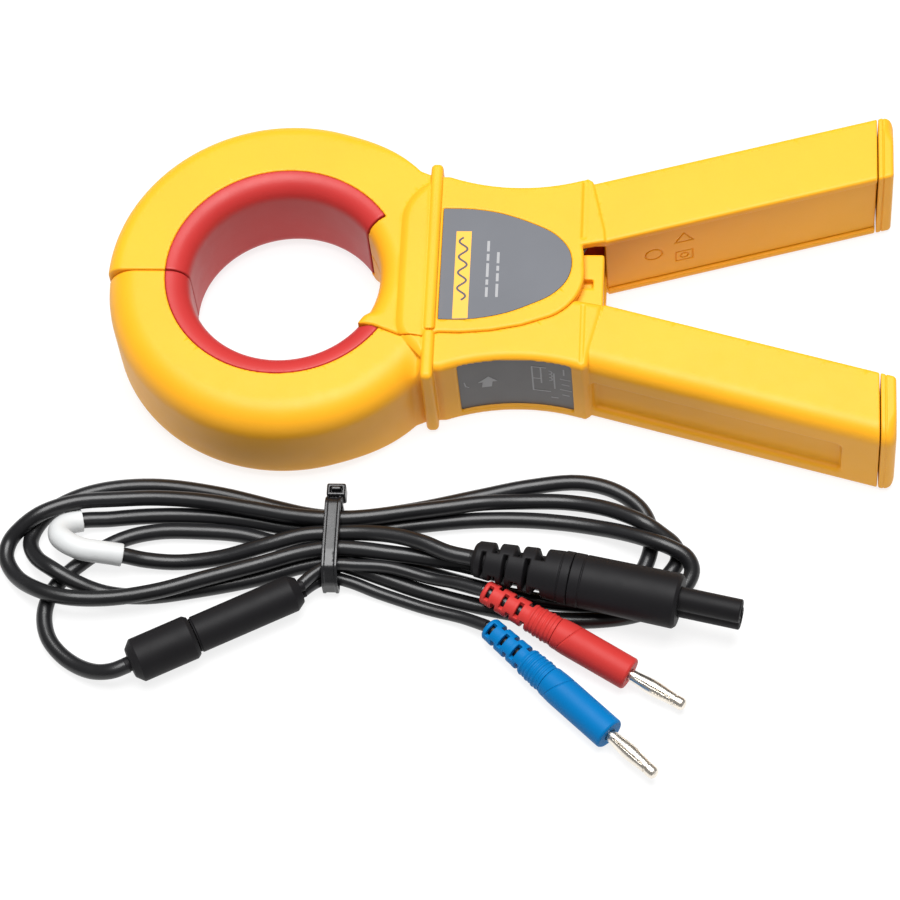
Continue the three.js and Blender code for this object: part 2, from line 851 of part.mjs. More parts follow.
function connectorNose() {
  const start = CONNECTOR_BODY + GAP;
  const lobe = (x) => cylinder(NOSE_LOBE, start, CONNECTOR_LENGTH, x, 0, 20);
  const web = box(-NOSE_SPACING, -2.8, start, NOSE_SPACING, 2.8, CONNECTOR_LENGTH);
  const hole = (x) => cylinder(1.5, CONNECTOR_LENGTH - 12, CONNECTOR_LENGTH + 1, x, 0, 14);
  return union(lobe(NOSE_SPACING), lobe(-NOSE_SPACING), web)
    .subtract(hole(NOSE_SPACING))
    .subtract(hole(-NOSE_SPACING));
}

function connectorContact(x) {
  const top = CONNECTOR_LENGTH - 1.2;
  return washer(0.75, 1.2, top - 10, top, x, 0, 12);
}

const PLUG_BOOT = 22.3;
const PLUG_BODY = 45.2;
const PIN_RADIUS = 1.45;

function plugBody() {
  const low = PLUG_BOOT + GAP;
  const socket = cylinder(PIN_RADIUS + GAP, PLUG_BODY - 10, PLUG_BODY + 1, 0, 0, 16);
  const outside = lathe(
    [
      [0, low],
      [3.7, low],
      [4.4, low + 3],
      [4.5, low + 4],
      [4.5, PLUG_BODY - 0.3],
      [4.2, PLUG_BODY],
      [0, PLUG_BODY],
    ],
    20,
  );
  return outside.subtract(socket);
}

const plugPin = (length) =>
  lathe(
    [
      [0, PLUG_BODY - 9.6],
      [PIN_RADIUS, PLUG_BODY - 9.6],
      [PIN_RADIUS, length - 3],
      [1.8, length - 2.8],
      [1.8, length - 0.6],
      [1.2, length],
      [0, length],
    ],
    16,
  );

// The bulged spring sleeve round the pin.
const plugLantern = (length) =>
  lathe(
    [
      [PIN_RADIUS + 0.25, PLUG_BODY + 0.4],
      [1.9, PLUG_BODY + 0.4],
      [2.15, (PLUG_BODY + length) / 2 - 1.5],
      [1.9, length - 3.3],
      [PIN_RADIUS + 0.25, length - 3.3],
      [PIN_RADIUS + 0.25, PLUG_BODY + 0.4],
    ],
    16,
  );

function cableTie() {
  const half = 2.2;
  const outline = (grow, corner) => {
    const low = 1.25 - grow;
    const high = 10.45 + grow;
    const near = -84.6 - grow;
    const far = -61.2 + grow;
    return [
      ...arc(corner, 180, 270, 3, near + corner, low + corner),
      ...arc(corner, 270, 360, 3, far - corner, low + corner),
      ...arc(corner, 0, 90, 3, far - corner, high - corner),
      ...arc(corner, 90, 180, 3, near + corner, high - corner),
    ];
  };
  const band = (points, length) => {
    const geometry = new THREE.ExtrudeGeometry(shapeOf(points), {
      depth: length,
      bevelEnabled: false,
    });
    geometry.rotateX(Math.PI / 2);
    geometry.rotateZ(Math.PI / 2);
    geometry.translate(TIE_X - length / 2, 0, 0);
    return solid(geometry);
  };
  const strap = band(outline(1.1, 2.2), 2 * half).subtract(band(outline(0, 1.2), 4 * half));
  const head = box(TIE_X - 1.4, -60.3, 5.6, TIE_X + 3.6, -56.6, 10.8);
  return strap.add(head);
}

// ---- The assembly -------------------------------------------------------------------------------

const group = new THREE.Group();
group.position.x = BORE_X;

function place(name, made, colour, roughness = 0.5, metalness = 0) {
  const material = new THREE.MeshStandardMaterial({ color: colour, roughness, metalness });
  const mesh = new THREE.Mesh(geometryOf(made), material);
  mesh.name = name;
  group.add(mesh);
}

// The same solid turned over about the X axis through the middle of the thickness.
function turnedOver(manifold) {
  const geometry = geometryOf(manifold);
  geometry.rotateX(Math.PI);
  geometry.translate(0, 0, THICKNESS);
  return solid(geometry);
}

function placeUpperHalf() {
  const gripFront = THICKNESS - HANDLE_DROP;
  const labelPocket = prism(frontLabelOutline(GAP), THICKNESS - 1, THICKNESS + 1);
  const shell = halfShell({
    frontRound: RING_FRONT_ROUND,
    rearRound: RING_REAR_ROUND,
    frontRise: GUARD_RISE,
    rearRise: 0,
    frontDrop: HANDLE_DROP,
    rearDrop: 0,
  });
  place("upper_shell", shell.subtract(labelPocket), COLOURS.yellow);
  const liner = ringPiece(linerRing(), THROAT_ANGLE + 1, 181).subtract(rearLapRoom());
  place("upper_liner", liner, COLOURS.red);
  place("upper_core", ringPiece(coreRing(), -1, 181), COLOURS.steel, 0.4, 0.9);
  const { spread } = WINDING;
  const winding = ringPiece(windingRing(), 90 - spread, 90 + spread);
  place("upper_winding", winding, COLOURS.copper, 0.4, 0.7);
  place("upper_handle_panel", handlePanel(gripFront, 0), COLOURS.yellow);
  place("upper_end_cap", handleCap(gripFront, 0), COLOURS.yellow);
  const label = prism(frontLabelOutline(), THICKNESS - 0.7, THICKNESS - 0.2);
  place("front_label", label, COLOURS.grey, 0.35);
}

function placeLowerHalf() {
  const screwHole = cylinder(4.7, -1, 2.9, PIVOT_X, 0);
  const shell = halfShell({
    frontRound: RING_REAR_ROUND,
    rearRound: RING_FRONT_ROUND,
    frontRise: 0,
    rearRise: GUARD_RISE,
    frontDrop: 0,
    rearDrop: HANDLE_DROP,
  });
  const labelRecess = sideLabel(0.3, [-2, 0.7], 3.7, 25);
  const lower = turnedOver(shell).subtract(screwHole).subtract(labelRecess);
  place("lower_shell", lower, COLOURS.yellow);
  const liner = ringPiece(linerRing(), -181, -THROAT_ANGLE - 1).subtract(frontLapRoom());
  place("lower_liner", liner, COLOURS.red);
  place("lower_core", ringPiece(coreRing(), -181, 1), COLOURS.steel, 0.4, 0.9);
  const { spread } = WINDING;
  const winding = ringPiece(windingRing(), -90 - spread, -90 + spread);
  place("lower_winding", winding, COLOURS.copper, 0.4, 0.7);
  place("lower_handle_panel", turnedOver(handlePanel(THICKNESS, HANDLE_DROP)), COLOURS.yellow);
  const opening = alongHandle(socketOutline(GAP), 60, 95);
  const cap = handleCap(THICKNESS, HANDLE_DROP).subtract(opening);
  place("lower_end_cap", turnedOver(cap), COLOURS.yellow);
  place("socket_body", turnedOver(socketBody()), COLOURS.black);
  const [pinA, pinB] = socketPins();
  place("socket_pin_a", turnedOver(pinA), COLOURS.brass, 0.3, 0.9);
  place("socket_pin_b", turnedOver(pinB), COLOURS.brass, 0.3, 0.9);
  place("burden_board", turnedOver(burdenBoard()), COLOURS.board);
  place("side_label", sideLabel(0, [0.05, 0.4], 4, 24.7), COLOURS.dark, 0.35);
}

function placeHinge() {
  const hubFoot = THICKNESS - PLATE - 5.3;
  place("pivot_screw", pivotScrew(), COLOURS.steel, 0.3, 0.9);
  const insert = washer(2.8, 4, hubFoot - 0.2, THICKNESS - 2.3, PIVOT_X, 0, 20);
  place("pivot_insert", insert, COLOURS.brass, 0.3, 0.9);
  place("pivot_bush", washer(2.8, 4, 2.85, 8.5, PIVOT_X, 0, 20), COLOURS.brass, 0.3, 0.9);
  place("pivot_washer", washer(2.8, 7, 8.8, 9.2, PIVOT_X, 0, 24), COLOURS.steel, 0.3, 0.9);
  place("return_spring", returnSpring(), COLOURS.steel, 0.3, 0.9);
}

function placeLead() {
  const main = knotCurve(MAIN_LEAD);
  const last = MAIN_LEAD.length - 1;
  const black = COLOURS.black;
  place("lead_cable", tubeAlong(main, last, LEAD_DIAMETER / 2, 8), black);
  const sleeved = new Stretch(main, SLEEVE_FROM / last, SLEEVE_TO / last);
  place("marker_sleeve", tubeAlong(sleeved, SLEEVE_TO - SLEEVE_FROM, 3.1, 10, 2.65), COLOURS.white);
  place("red_lead", tube(RED_LEAD, THIN_LEAD_DIAMETER / 2, 8), black);
  place("blue_lead", tube(BLUE_LEAD, THIN_LEAD_DIAMETER / 2, 8), black);
  place("cable_tie", cableTie(), black);

  const splitterLength = SPLITTER.from.distanceTo(SPLITTER.to);
  place("splitter_collar", laid(splitterCollar(), SPLITTER.from, SPLITTER.to), black);
  const barrel = laid(splitterBarrel(splitterLength), SPLITTER.from, SPLITTER.to);
  place("splitter_barrel", barrel, black);

  const { from, to } = CONNECTOR;
  const boot = ribbedBoot(3.6, 7, CONNECTOR_BOOT, 3, 7.5);
  place("connector_boot", laid(boot, from, to), black);
  const body = lathe(
    [
      [0, CONNECTOR_BOOT + GAP],
      [7.2, CONNECTOR_BOOT + GAP],
      [7.5, CONNECTOR_BOOT + 2],
      [7.2, CONNECTOR_BODY - 0.6],
      [6.6, CONNECTOR_BODY],
      [0, CONNECTOR_BODY],
    ],
    24,
  );
  place("connector_body", laid(body, from, to), black);
  place("connector_nose", laid(connectorNose(), from, to), black);
  place("contact_a", laid(connectorContact(NOSE_SPACING), from, to), COLOURS.brass, 0.3, 0.9);
  place("contact_b", laid(connectorContact(-NOSE_SPACING), from, to), COLOURS.brass, 0.3, 0.9);

  const plugs = [
    ["red", RED_PLUG, COLOURS.red],
    ["blue", BLUE_PLUG, COLOURS.blue],
  ];
  for (const [name, plug, colour] of plugs) {
    const length = plug.from.distanceTo(plug.to);
    const along = (piece) => laid(piece, plug.from, plug.to);
    place(`${name}_plug_boot`, along(ribbedBoot(2.9, 3.9, PLUG_BOOT, 5, 7)), colour);
    place(`${name}_plug_body`, along(plugBody()), colour);
    place(`${name}_plug_pin`, along(plugPin(length)), COLOURS.steel, 0.25, 0.9);
    place(`${name}_plug_lantern`, along(plugLantern(length)), COLOURS.steel, 0.25, 0.9);
  }
}

placeUpperHalf();
placeLowerHalf();
placeHinge();
placeLead();

export default group;
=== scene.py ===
import itertools
import math
from functools import reduce

import bpy
import numpy as np
import openvdb
from mathutils import Matrix, Vector


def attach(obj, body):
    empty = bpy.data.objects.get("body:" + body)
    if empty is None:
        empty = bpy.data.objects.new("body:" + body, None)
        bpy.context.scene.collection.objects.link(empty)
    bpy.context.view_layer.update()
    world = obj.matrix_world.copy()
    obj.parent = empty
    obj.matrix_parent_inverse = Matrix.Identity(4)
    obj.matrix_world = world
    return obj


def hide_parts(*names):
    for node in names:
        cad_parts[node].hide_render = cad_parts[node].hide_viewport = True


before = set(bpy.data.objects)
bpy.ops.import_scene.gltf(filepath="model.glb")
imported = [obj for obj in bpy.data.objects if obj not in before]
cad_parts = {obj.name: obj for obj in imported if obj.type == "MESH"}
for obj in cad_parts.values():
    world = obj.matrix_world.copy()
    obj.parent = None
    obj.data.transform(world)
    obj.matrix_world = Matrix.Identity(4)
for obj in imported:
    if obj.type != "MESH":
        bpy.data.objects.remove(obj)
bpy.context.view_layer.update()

BORE_X = -59.0
T = 28.7  # thickness of the clamp
MIDDLE = T / 2
LOWER, UPPER = "lower_half", "upper_half"
HALVES = (("upper", 1, UPPER), ("lower", -1, LOWER))
GAP = 0.3
FINE = 0.36  # cell of the clamp's distance fields


def metres(points):
    """Millimetres about the bore to metres in the row frame."""
    return (np.asarray(points, float) + (BORE_X, 0.0, 0.0)) / 1000.0


def link(name, data):
    """A new object in the scene."""
    piece = bpy.data.objects.new(name, data)
    bpy.context.scene.collection.objects.link(piece)
    return piece


# ---- Camera ----------------------------------------------------------------------------------------


def make_camera():
    yaw, pitch, roll = (math.radians(a) for a in (-9.254, 60.499, -7.576))
    ahead = Vector((math.sin(yaw) * math.cos(pitch), math.cos(yaw) * math.cos(pitch), -math.sin(pitch)))
    right = Vector((math.cos(yaw), -math.sin(yaw), 0.0))
    up = right.cross(ahead)
    across = math.cos(roll) * right + math.sin(roll) * up
    above = math.cos(roll) * up - math.sin(roll) * right
    camera = link("camera", bpy.data.cameras.new("camera"))
    camera.matrix_world = Matrix.Translation((0.07026, -0.55134, 0.91552)) @ Matrix(
        (across, above, -ahead)
    ).transposed().to_4x4()
    camera.data.sensor_width = 36.0
    camera.data.lens = 153.1
    camera.data.clip_start, camera.data.clip_end = 0.05, 20.0
    bpy.context.scene.camera = camera


# ---- The lead's route ------------------------------------------------------------------------------
# One strand from the connector, through the tie seven times, to the splitter, and two thin leads.

LEAD, THIN_LEAD = 4.4, 3.4
LEAD_STEPS = 6  # points from one knot of the main lead to the next
SLEEVE_KNOTS = (11, 18)  # where the marker sleeve begins and ends
MAIN_LEAD = [
    (54.6, -79.9, 12.2), (48, -78.2, 11.9), (41, -74.9, 11.3), (33, -72.1, 10), (24, -70.6, 8.6),
    (16, -70.5, 7.9), (8, -71.1, 7.7), (-2, -73.6, 6.5), (-14, -76, 3.6), (-26, -76.9, 2.2), (-35, -76.9, 3.4),
    (-41, -76.7, 5.6), (-47, -76.6, 7.3), (-52, -76, 7.8), (-55.8, -74.2, 7.6), (-58.3, -71.8, 6.7),
    (-58.8, -69, 5.4), (-57, -66.4, 4), (-53.4, -64.8, 3), (-46, -63.9, 2.2), (-36, -62.9, 2.2),
    (-24, -62.6, 2.2), (-10, -63.6, 2.2), (2, -66, 2.6), (9, -67.3, 3.4), (16, -68.3, 3.9), (24, -67.6, 3.4),
    (38, -65, 2.4), (57, -63, 2.2), (76, -63.5, 2.2), (88, -65.9, 3.6), (95, -68.4, 5.6), (101, -71, 7.2),
    (106.6, -73.4, 7.8), (111.6, -76, 6.6), (113, -79.4, 4.8), (110, -84.6, 3), (104, -88.8, 2.2),
    (97, -91.5, 2.2), (87, -93, 2.2), (76, -92.9, 2.2), (64, -90.9, 2.2), (52, -88.2, 2.2), (40, -84.8, 2.3),
    (29, -81, 2.9), (22, -78.7, 3.5), (16, -77.3, 3.9), (8, -78.2, 3.2), (-4, -81.6, 2.3), (-18, -84.8, 2.2),
    (-34, -87.4, 2.2), (-45, -86.8, 2.6), (-53, -84.9, 5.2), (-59.6, -81.6, 6.7), (-64.6, -77.2, 4.8),
    (-67, -71.8, 2.8), (-65.8, -66.4, 2.2), (-61.8, -61.2, 2.2), (-55, -57, 2.2), (-46, -54.4, 2.2),
    (-33, -53.6, 2.2), (-16, -56, 2.2), (0, -60.2, 2.4), (8, -62.5, 3.2), (16, -63.8, 3.9), (24, -63.2, 3.4),
    (38, -60.2, 2.4), (55, -55.9, 2.2), (68, -52.8, 2.2), (82, -51.2, 2.2), (92, -53.8, 2.2), (99, -59.4, 2.2),
    (101.8, -66.8, 2.2), (101.2, -74, 2.2), (98.4, -79.6, 2.2), (91, -83.2, 2.2), (80, -83.4, 2.2),
    (67, -80.8, 2.2), (60, -79.6, 3), (54, -78.8, 5), (47, -78, 6.6), (40, -77, 7), (31, -75.9, 7.2),
    (23, -75.2, 7.8), (16, -75.05, 7.9), (8, -76.2, 7.4), (-4, -79.8, 6.8), (-18, -84, 6.6), (-31, -88, 6.5),
    (-44, -90.2, 6.4), (-55, -90.2, 6.8), (-63, -87.6, 6), (-70, -82, 2.8), (-73.4, -76, 2.2),
    (-72.8, -71.4, 2.8), (-69.2, -68, 5.2), (-64.8, -65.2, 6.9), (-60, -62.8, 7), (-54, -60.9, 6.7),
    (-44, -59.8, 6.2), (-33, -59.2, 6), (-20, -60.2, 6.3), (-7, -62.6, 6.8), (5, -65, 7.4), (16, -66.05, 7.9),
    (24, -65.4, 7.5), (38, -62.7, 6.4), (47, -61.1, 5.9), (56, -59.3, 5.1), (66, -57.9, 3.4), (78, -57.5, 2.6),
    (88, -59.8, 4.2), (95, -63, 6), (100.6, -66.2, 6.8), (104.6, -68.4, 5.2), (108.2, -70.8, 3.2),
    (109.2, -74.4, 2.4), (106.8, -79, 2.2), (102.2, -83.8, 2.2), (96, -87, 2.2), (86, -88.4, 2.2),
    (74, -87.6, 2.2), (62, -85.3, 2.2), (50, -82, 2.2), (38, -78.2, 2.2), (27, -74.8, 2.8), (16, -72.8, 3.9),
    (8, -71.8, 2.9), (0, -70.6, 2.2), (-10, -68.2, 2.2), (-22, -67.4, 2.2), (-32, -67.6, 2.2),
    (-40, -69.4, 2.2), (-47, -73, 2.2), (-52.5, -77.4, 2.2), (-57, -82, 2.2), (-60.2, -87.4, 2.2),
    (-61.2, -93.6, 2.2), (-59.6, -100, 2.2), (-56, -104.8, 2.2), (-51, -108.6, 2.6), (-45.6, -111, 4),
    (-40.6, -111.4, 5.6), (-36.4, -109.8, 6.1),
]
RED_LEAD = [
    (8.6, -86.2, 7.9), (11.5, -83.2, 7.9), (16, -79.9, 7.4), (23, -79.7, 7.1), (32, -80.1, 6.7), (43, -83, 6.2),
    (51, -85.3, 7.8), (57.6, -87.8, 9),
]
BLUE_LEAD = [
    (8.6, -86.4, 4.3), (12, -83.4, 3.8), (16, -81.7, 3.3), (21, -82.6, 2.8), (29, -85.4, 1.8), (42, -89.9, 1.8),
    (52, -93, 2.8), (58.8, -96.2, 4.4),
]


# ---- Materials -------------------------------------------------------------------------------------


class Nodes:
    """A material's node tree, with a short way to add and join nodes."""

    def __init__(self, name):
        self.material = bpy.data.materials.new(name)
        self.material.use_nodes = True
        self.tree = self.material.node_tree
        self.shader = self.tree.nodes["Principled BSDF"]
        self.place = self.add("ShaderNodeTexCoord").outputs["Object"]

    def add(self, kind, **values):
        node = self.tree.nodes.new(kind)
        for key, value in values.items():
            if hasattr(node, key):
                setattr(node, key, value)
            else:
                self.put(node.inputs[key.replace("_", " ")], value)
        return node

    def put(self, socket, value):
        if isinstance(value, bpy.types.NodeSocket):
            self.tree.links.new(value, socket)
        else:
            socket.default_value = value

    def shade(self, **values):
        for key, value in values.items():
            self.put(self.shader.inputs[key.replace("_", " ")], value)

    def noise(self, scale, detail=3.0, rough=0.5, stretch=(1, 1, 1)):
        place = self.place
        if stretch != (1, 1, 1):
            place = self.add("ShaderNodeMapping", Vector=place, Scale=stretch).outputs[0]
        return self.add(
            "ShaderNodeTexNoise", Vector=place, Scale=scale, Detail=detail, Roughness=rough
        ).outputs["Fac"]

    def ramp(self, factor, stops):
        node = self.add("ShaderNodeValToRGB", Fac=factor)
        ramp = node.color_ramp
        while len(ramp.elements) < len(stops):
            ramp.elements.new(0.5)
        for element, (at, colour) in zip(ramp.elements, stops):
            element.position = at
            element.color = (*colour, 1.0)
        return node.outputs["Color"]

    def span(self, factor, low, high):
        return self.add("ShaderNodeMapRange", Value=factor, To_Min=low, To_Max=high).outputs[0]

    def bump(self, height, strength, distance, below=None):
        node = self.add("ShaderNodeBump", Height=height, Strength=strength, Distance=distance)
        if below is not None:
            self.put(node.inputs["Normal"], below)
        return node.outputs["Normal"]


def scaled(colour, by):
    return tuple(min(1.0, c * by) for c in colour)


def plastic(name, colour, rough=0.42, grain=2600.0, depth=0.00004, spread=0.05, gloss=0.5, sub=0.0):
    """Moulded plastic: a fine spark-eroded grain, faint flow marks, and a little unevenness of gloss."""
    n = Nodes(name)
    drift = n.noise(38.0, 4.0)
    flow = n.bump(n.noise(90.0, 2.0), 0.12, 0.0002)
    n.shade(
        Base_Color=n.ramp(drift, [(0.3, scaled(colour, 1 - spread)), (0.7, scaled(colour, 1 + spread))]),
        Roughness=n.span(n.noise(240.0, 4.0), rough - 0.06, rough + 0.08),
        Normal=n.bump(n.noise(grain, 2.0, 0.6), 0.45, depth, flow),
        Specular_IOR_Level=gloss,
    )
    if sub:
        n.shade(Subsurface_Weight=sub, Subsurface_Radius=(0.0012, 0.0007, 0.0003), Subsurface_Scale=1.0)
    return n.material


def metal(name, colour, rough=0.25, stretch=(1, 1, 1), grain=1400.0):
    n = Nodes(name)
    fine = n.noise(grain, 3.0, 0.6, stretch)
    n.shade(
        Metallic=1.0,
        Base_Color=n.ramp(n.noise(160.0, 3.0), [(0.3, scaled(colour, 0.88)), (0.7, scaled(colour, 1.05))]),
        Roughness=n.span(fine, rough - 0.06, rough + 0.1),
        Normal=n.bump(fine, 0.2, 0.00002),
    )
    return n.material


AMBER = plastic("amber_plastic", (0.86, 0.39, 0.012), rough=0.45, spread=0.03, gloss=0.3, sub=0.04)
RED = plastic("red_plastic", (0.46, 0.03, 0.028), rough=0.42, spread=0.04, gloss=0.32)
LABEL = plastic("label_film", (0.135, 0.14, 0.155), 0.45, 5000.0, 0.00001, gloss=0.15)
SIDE_LABEL = plastic("side_label_film", (0.085, 0.08, 0.08), 0.36, 5000.0, 0.00001)
PRINT_YELLOW = plastic("print_yellow", (0.83, 0.4, 0.02), rough=0.4, depth=0.00001)
PRINT_DARK = plastic("print_dark", (0.045, 0.045, 0.055), rough=0.4, depth=0.00001)
PRINT_LIGHT = plastic("print_light", (0.3, 0.3, 0.31), rough=0.4, depth=0.00001)
SHEATH = plastic("lead_sheath", (0.009, 0.009, 0.01), 0.3, 1500.0, 0.00003, spread=0.25, gloss=0.42)
RUBBER = plastic("connector_rubber", (0.01, 0.0095, 0.0105), 0.5, 3200.0, spread=0.15, gloss=0.12)
TIE = plastic("tie_nylon", (0.009, 0.009, 0.01), 0.26, 900.0, 0.00002, spread=0.2)
WHITE = plastic("marker_white", (0.58, 0.59, 0.59), rough=0.5, depth=0.00001)
PLUG_RED = plastic("plug_red", (0.48, 0.034, 0.03), rough=0.45, spread=0.05, gloss=0.14)
PLUG_BLUE = plastic("plug_blue", (0.0004, 0.14, 0.38), rough=0.45, spread=0.05, gloss=0.1)
BOARD = plastic("board_green", (0.03, 0.16, 0.07), rough=0.45)
NICKEL = metal("plug_nickel", (0.85, 0.79, 0.7), 0.26)
STEEL = metal("hinge_steel", (0.62, 0.62, 0.64), 0.3)
BRASS = metal("turned_brass", (0.78, 0.58, 0.26), 0.3)
CORE = metal("core_strip", (0.36, 0.37, 0.4), 0.35, (1, 1, 14), 900.0)
COPPER = metal("enamelled_wire", (0.62, 0.27, 0.12), 0.3, (1, 1, 30), 300.0)


def dress(piece, body, slot, material, *nodes):
    piece.data.materials.clear()
    piece.data.materials.append(material)
    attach(piece, body)
    if nodes:
        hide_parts(*nodes)
    return piece


# ---- Distance fields -------------------------------------------------------------------------------
# A field is negative inside a solid. Its arrays run over x, y and z in millimetres.


def cut(a, b, r=0.0):
    """What is in both a and b, with the edge between them rounded."""
    if np.isscalar(r) and r <= 0.0:
        return np.maximum(a, b)
    corner = np.sqrt(np.maximum(a + r, 0.0) ** 2 + np.maximum(b + r, 0.0) ** 2)
    return np.minimum(-r, np.maximum(a, b)) + corner


def join(a, b, r=0.0):
    """What is in a or b, with a fillet between them."""
    if r <= 0.0:
        return np.minimum(a, b)
    corner = np.sqrt(np.maximum(r - a, 0.0) ** 2 + np.maximum(r - b, 0.0) ** 2)
    return np.maximum(r, np.minimum(a, b)) - corner


def carve(a, b, r=0.0):
    """What is in a and not in b."""
    return cut(a, -b, r)


def both(*fields):
    """What is in every one of these."""
    return reduce(np.maximum, fields)


def either(*fields):
    """What is in any of these."""
    return reduce(np.minimum, fields)


def dist(*offsets):
    return np.sqrt(sum(v * v for v in offsets))


def slab(v, low, high):
    return np.abs(v - (low + high) / 2) - (high - low) / 2


def polygon(points, px, py):
    """The signed distance to a closed outline of [x, y] points."""
    px, py = np.broadcast_arrays(px, py)
    best = np.full(px.shape, 1e12, np.float32)
    inside = np.zeros(px.shape, bool)
    loop = list(points)
    for (ax, ay), (bx, by) in zip(loop, loop[1:] + loop[:1]):
        ex, ey = bx - ax, by - ay
        length = ex * ex + ey * ey
        if length == 0:
            continue
        wx, wy = px - ax, py - ay
        t = np.clip((wx * ex + wy * ey) / length, 0.0, 1.0)
        best = np.minimum(best, (wx - ex * t) ** 2 + (wy - ey * t) ** 2)
        if ay != by:
            inside ^= ((ay > py) != (by > py)) & (wx < ex * wy / ey)
    return (np.sqrt(best) * np.where(inside, -1.0, 1.0)).astype(np.float32)


def arc(radius, start, end, steps, x=0.0, y=0.0):
    angles = np.radians(np.linspace(start, end, steps + 1))
    return [(x + radius * math.cos(a), y + radius * math.sin(a)) for a in angles]


def rounded_path(points, radii, steps=6):
    """A closed outline with each corner rounded by its own radius."""
    out = []
    count = len(points)
    for i, (point, radius) in enumerate(zip(points, radii)):
        p = np.array(point, float)
        a = np.array(points[i - 1], float) - p
        b = np.array(points[(i + 1) % count], float) - p
        a, b = a / np.linalg.norm(a), b / np.linalg.norm(b)
        half = math.acos(max(-1.0, min(1.0, float(a @ b)))) / 2
        if radius <= 0 or half > math.pi / 2 - 0.02:
            out.append(tuple(p))
            continue
        reach = radius / math.tan(half)
        centre = p + (a + b) / np.linalg.norm(a + b) * radius / math.sin(half)
        first, last = p + a * reach - centre, p + b * reach - centre
        start = math.atan2(first[1], first[0])
        turn = (math.atan2(last[1], last[0]) - start + math.pi) % (2 * math.pi) - math.pi
        for k in range(steps + 1):
            angle = start + turn * k / steps
            out.append((centre[0] + radius * math.cos(angle), centre[1] + radius * math.sin(angle)))
    return out


class Field:
    """The cells over a box, and the mesh where a field over them is zero."""

    def __init__(self, low, high, pitch):
        self.low, self.pitch = np.array(low, float), pitch
        counts = [int(math.ceil((b - a) / pitch)) + 1 for a, b in zip(low, high)]
        axes = [(a + np.arange(n) * pitch).astype(np.float32) for a, n in zip(low, counts)]
        self.x, self.y, self.z = axes[0][:, None, None], axes[1][None, :, None], axes[2][None, None, :]

    def table(self, section, across, z):
        """A section drawn in (across, z), looked up for every cell: across is an array over x and y."""
        low, high = float(across.min()), float(across.max())
        step = self.pitch / 2
        rows = (low + np.arange(int((high - low) / step) + 2) * step).astype(np.float32)
        flat = section(rows[:, None], z.reshape(1, -1))
        at = (across[:, :, 0] - low) / step
        first = np.clip(at.astype(np.int32), 0, len(rows) - 2)
        share = (at - first)[..., None].astype(np.float32)
        return flat[first] * (1 - share) + flat[first + 1] * share

    def at(self, values, points):
        """The field's value at points given in cells."""
        base = np.clip(np.floor(points).astype(np.int32), 0, np.array(values.shape) - 2)
        share = points - base
        total = 0.0
        for corner in itertools.product((0, 1), repeat=3):
            weight = np.prod(np.where(corner, share, 1 - share), axis=1)
            total = total + weight * values[tuple((base + corner).T)]
        return total

    def mesh(self, name, values, flatness=0.004, move=metres):
        values = np.ascontiguousarray(values, np.float32)
        grid = openvdb.FloatGrid()
        grid.copyFromArray(values)
        points, triangles, quads = grid.convertToPolygons(isovalue=0.0, adaptivity=flatness)
        slope = np.empty(points.shape)
        for axis in range(3):
            step = np.zeros(3)
            step[axis] = 0.6
            slope[:, axis] = self.at(values, points + step) - self.at(values, points - step)
        where = move(points * self.pitch + self.low)
        origin = move(np.zeros((1, 3)))
        slope = move(slope) - origin
        slope /= np.maximum(np.linalg.norm(slope, axis=1), 1e-12)[:, None]
        return build_mesh(name, where, triangles, quads, slope)


def build_mesh(name, points, triangles, quads, normals=None):
    mesh = bpy.data.meshes.new(name)
    mesh.vertices.add(len(points))
    mesh.vertices.foreach_set("co", np.asarray(points, np.float32).ravel())
    loops = np.concatenate([np.asarray(triangles).ravel(), np.asarray(quads).ravel()]).astype(np.int32)
    sizes = np.concatenate([np.full(len(triangles), 3), np.full(len(quads), 4)]).astype(np.int32)
    mesh.loops.add(len(loops))
    mesh.loops.foreach_set("vertex_index", loops)
    mesh.polygons.add(len(sizes))
    mesh.polygons.foreach_set("loop_start", np.concatenate([[0], np.cumsum(sizes)[:-1]]).astype(np.int32))
    mesh.update()
    mesh.validate()
    mesh.polygons.foreach_set("use_smooth", np.ones(len(mesh.polygons), bool))
    if normals is not None and len(mesh.vertices) == len(normals):
        mesh.normals_split_custom_set_from_vertices(normals)
    return link(name, mesh)


# ---- The clamp's halves ----------------------------------------------------------------------------
# Both halves are one moulding, and the lower one is turned over. half_body sees each half as it laps:
# z rises to the face that carries its lapping plate, and y runs out from the seam of the jaws.

BORE_RADIUS, LINER_RADIUS, RING_RADIUS = 26.2, 32.6, 49.0
BORE_WALL = BORE_RADIUS + 0.2  # the amber part of the bore stands a little back from the red one
THROAT, LIP_END = 33.0, 32.5  # degrees at which the liners end, and the amber lip between them
LIP_ROUND, TIP_ROUND = 5.8, 2.4  # the rolled edge about the bore, and where it runs out
PLATE, WALL = 3.2, 2.4  # thickness of the lapping plates, and of the other walls
SEAM = 0.15  # half of the gap between the closed jaws
JAW_END, POLE_DEPTH = 2.6, 4.0  # the wall about the core's face, and how deep its hole is cut
CORE_IN, CORE_OUT, CORE_LOW, CORE_HIGH = 35.2, 43.8, 7.2, 21.5  # the hole for the core
LAP_FACE_ROUND, FAR_FACE_ROUND = 4.5, 8.5  # the ring's outer edges
EDGE, FAR_EDGE = 0.7, 2.2  # the waist's outer edges
PIVOT_X = 67.0
ROOT = (88.3, 9.9)  # where a handle's inner face meets the waist
HANDLE_ANGLE = math.radians(15.6)
HANDLE_WIDTH = 19.6
HANDLE_HEIGHTS = {1: (0.0, T - 0.5), -1: (0.5, T)}  # by the sign of the half's y
CAP_X, END_X = 162.8, 167.0  # where the handles' end caps begin and end
WAIST_ARC = (64.5, 85.4)  # centre of the waist's hollow side
WAIST_RADIUS = 58.0
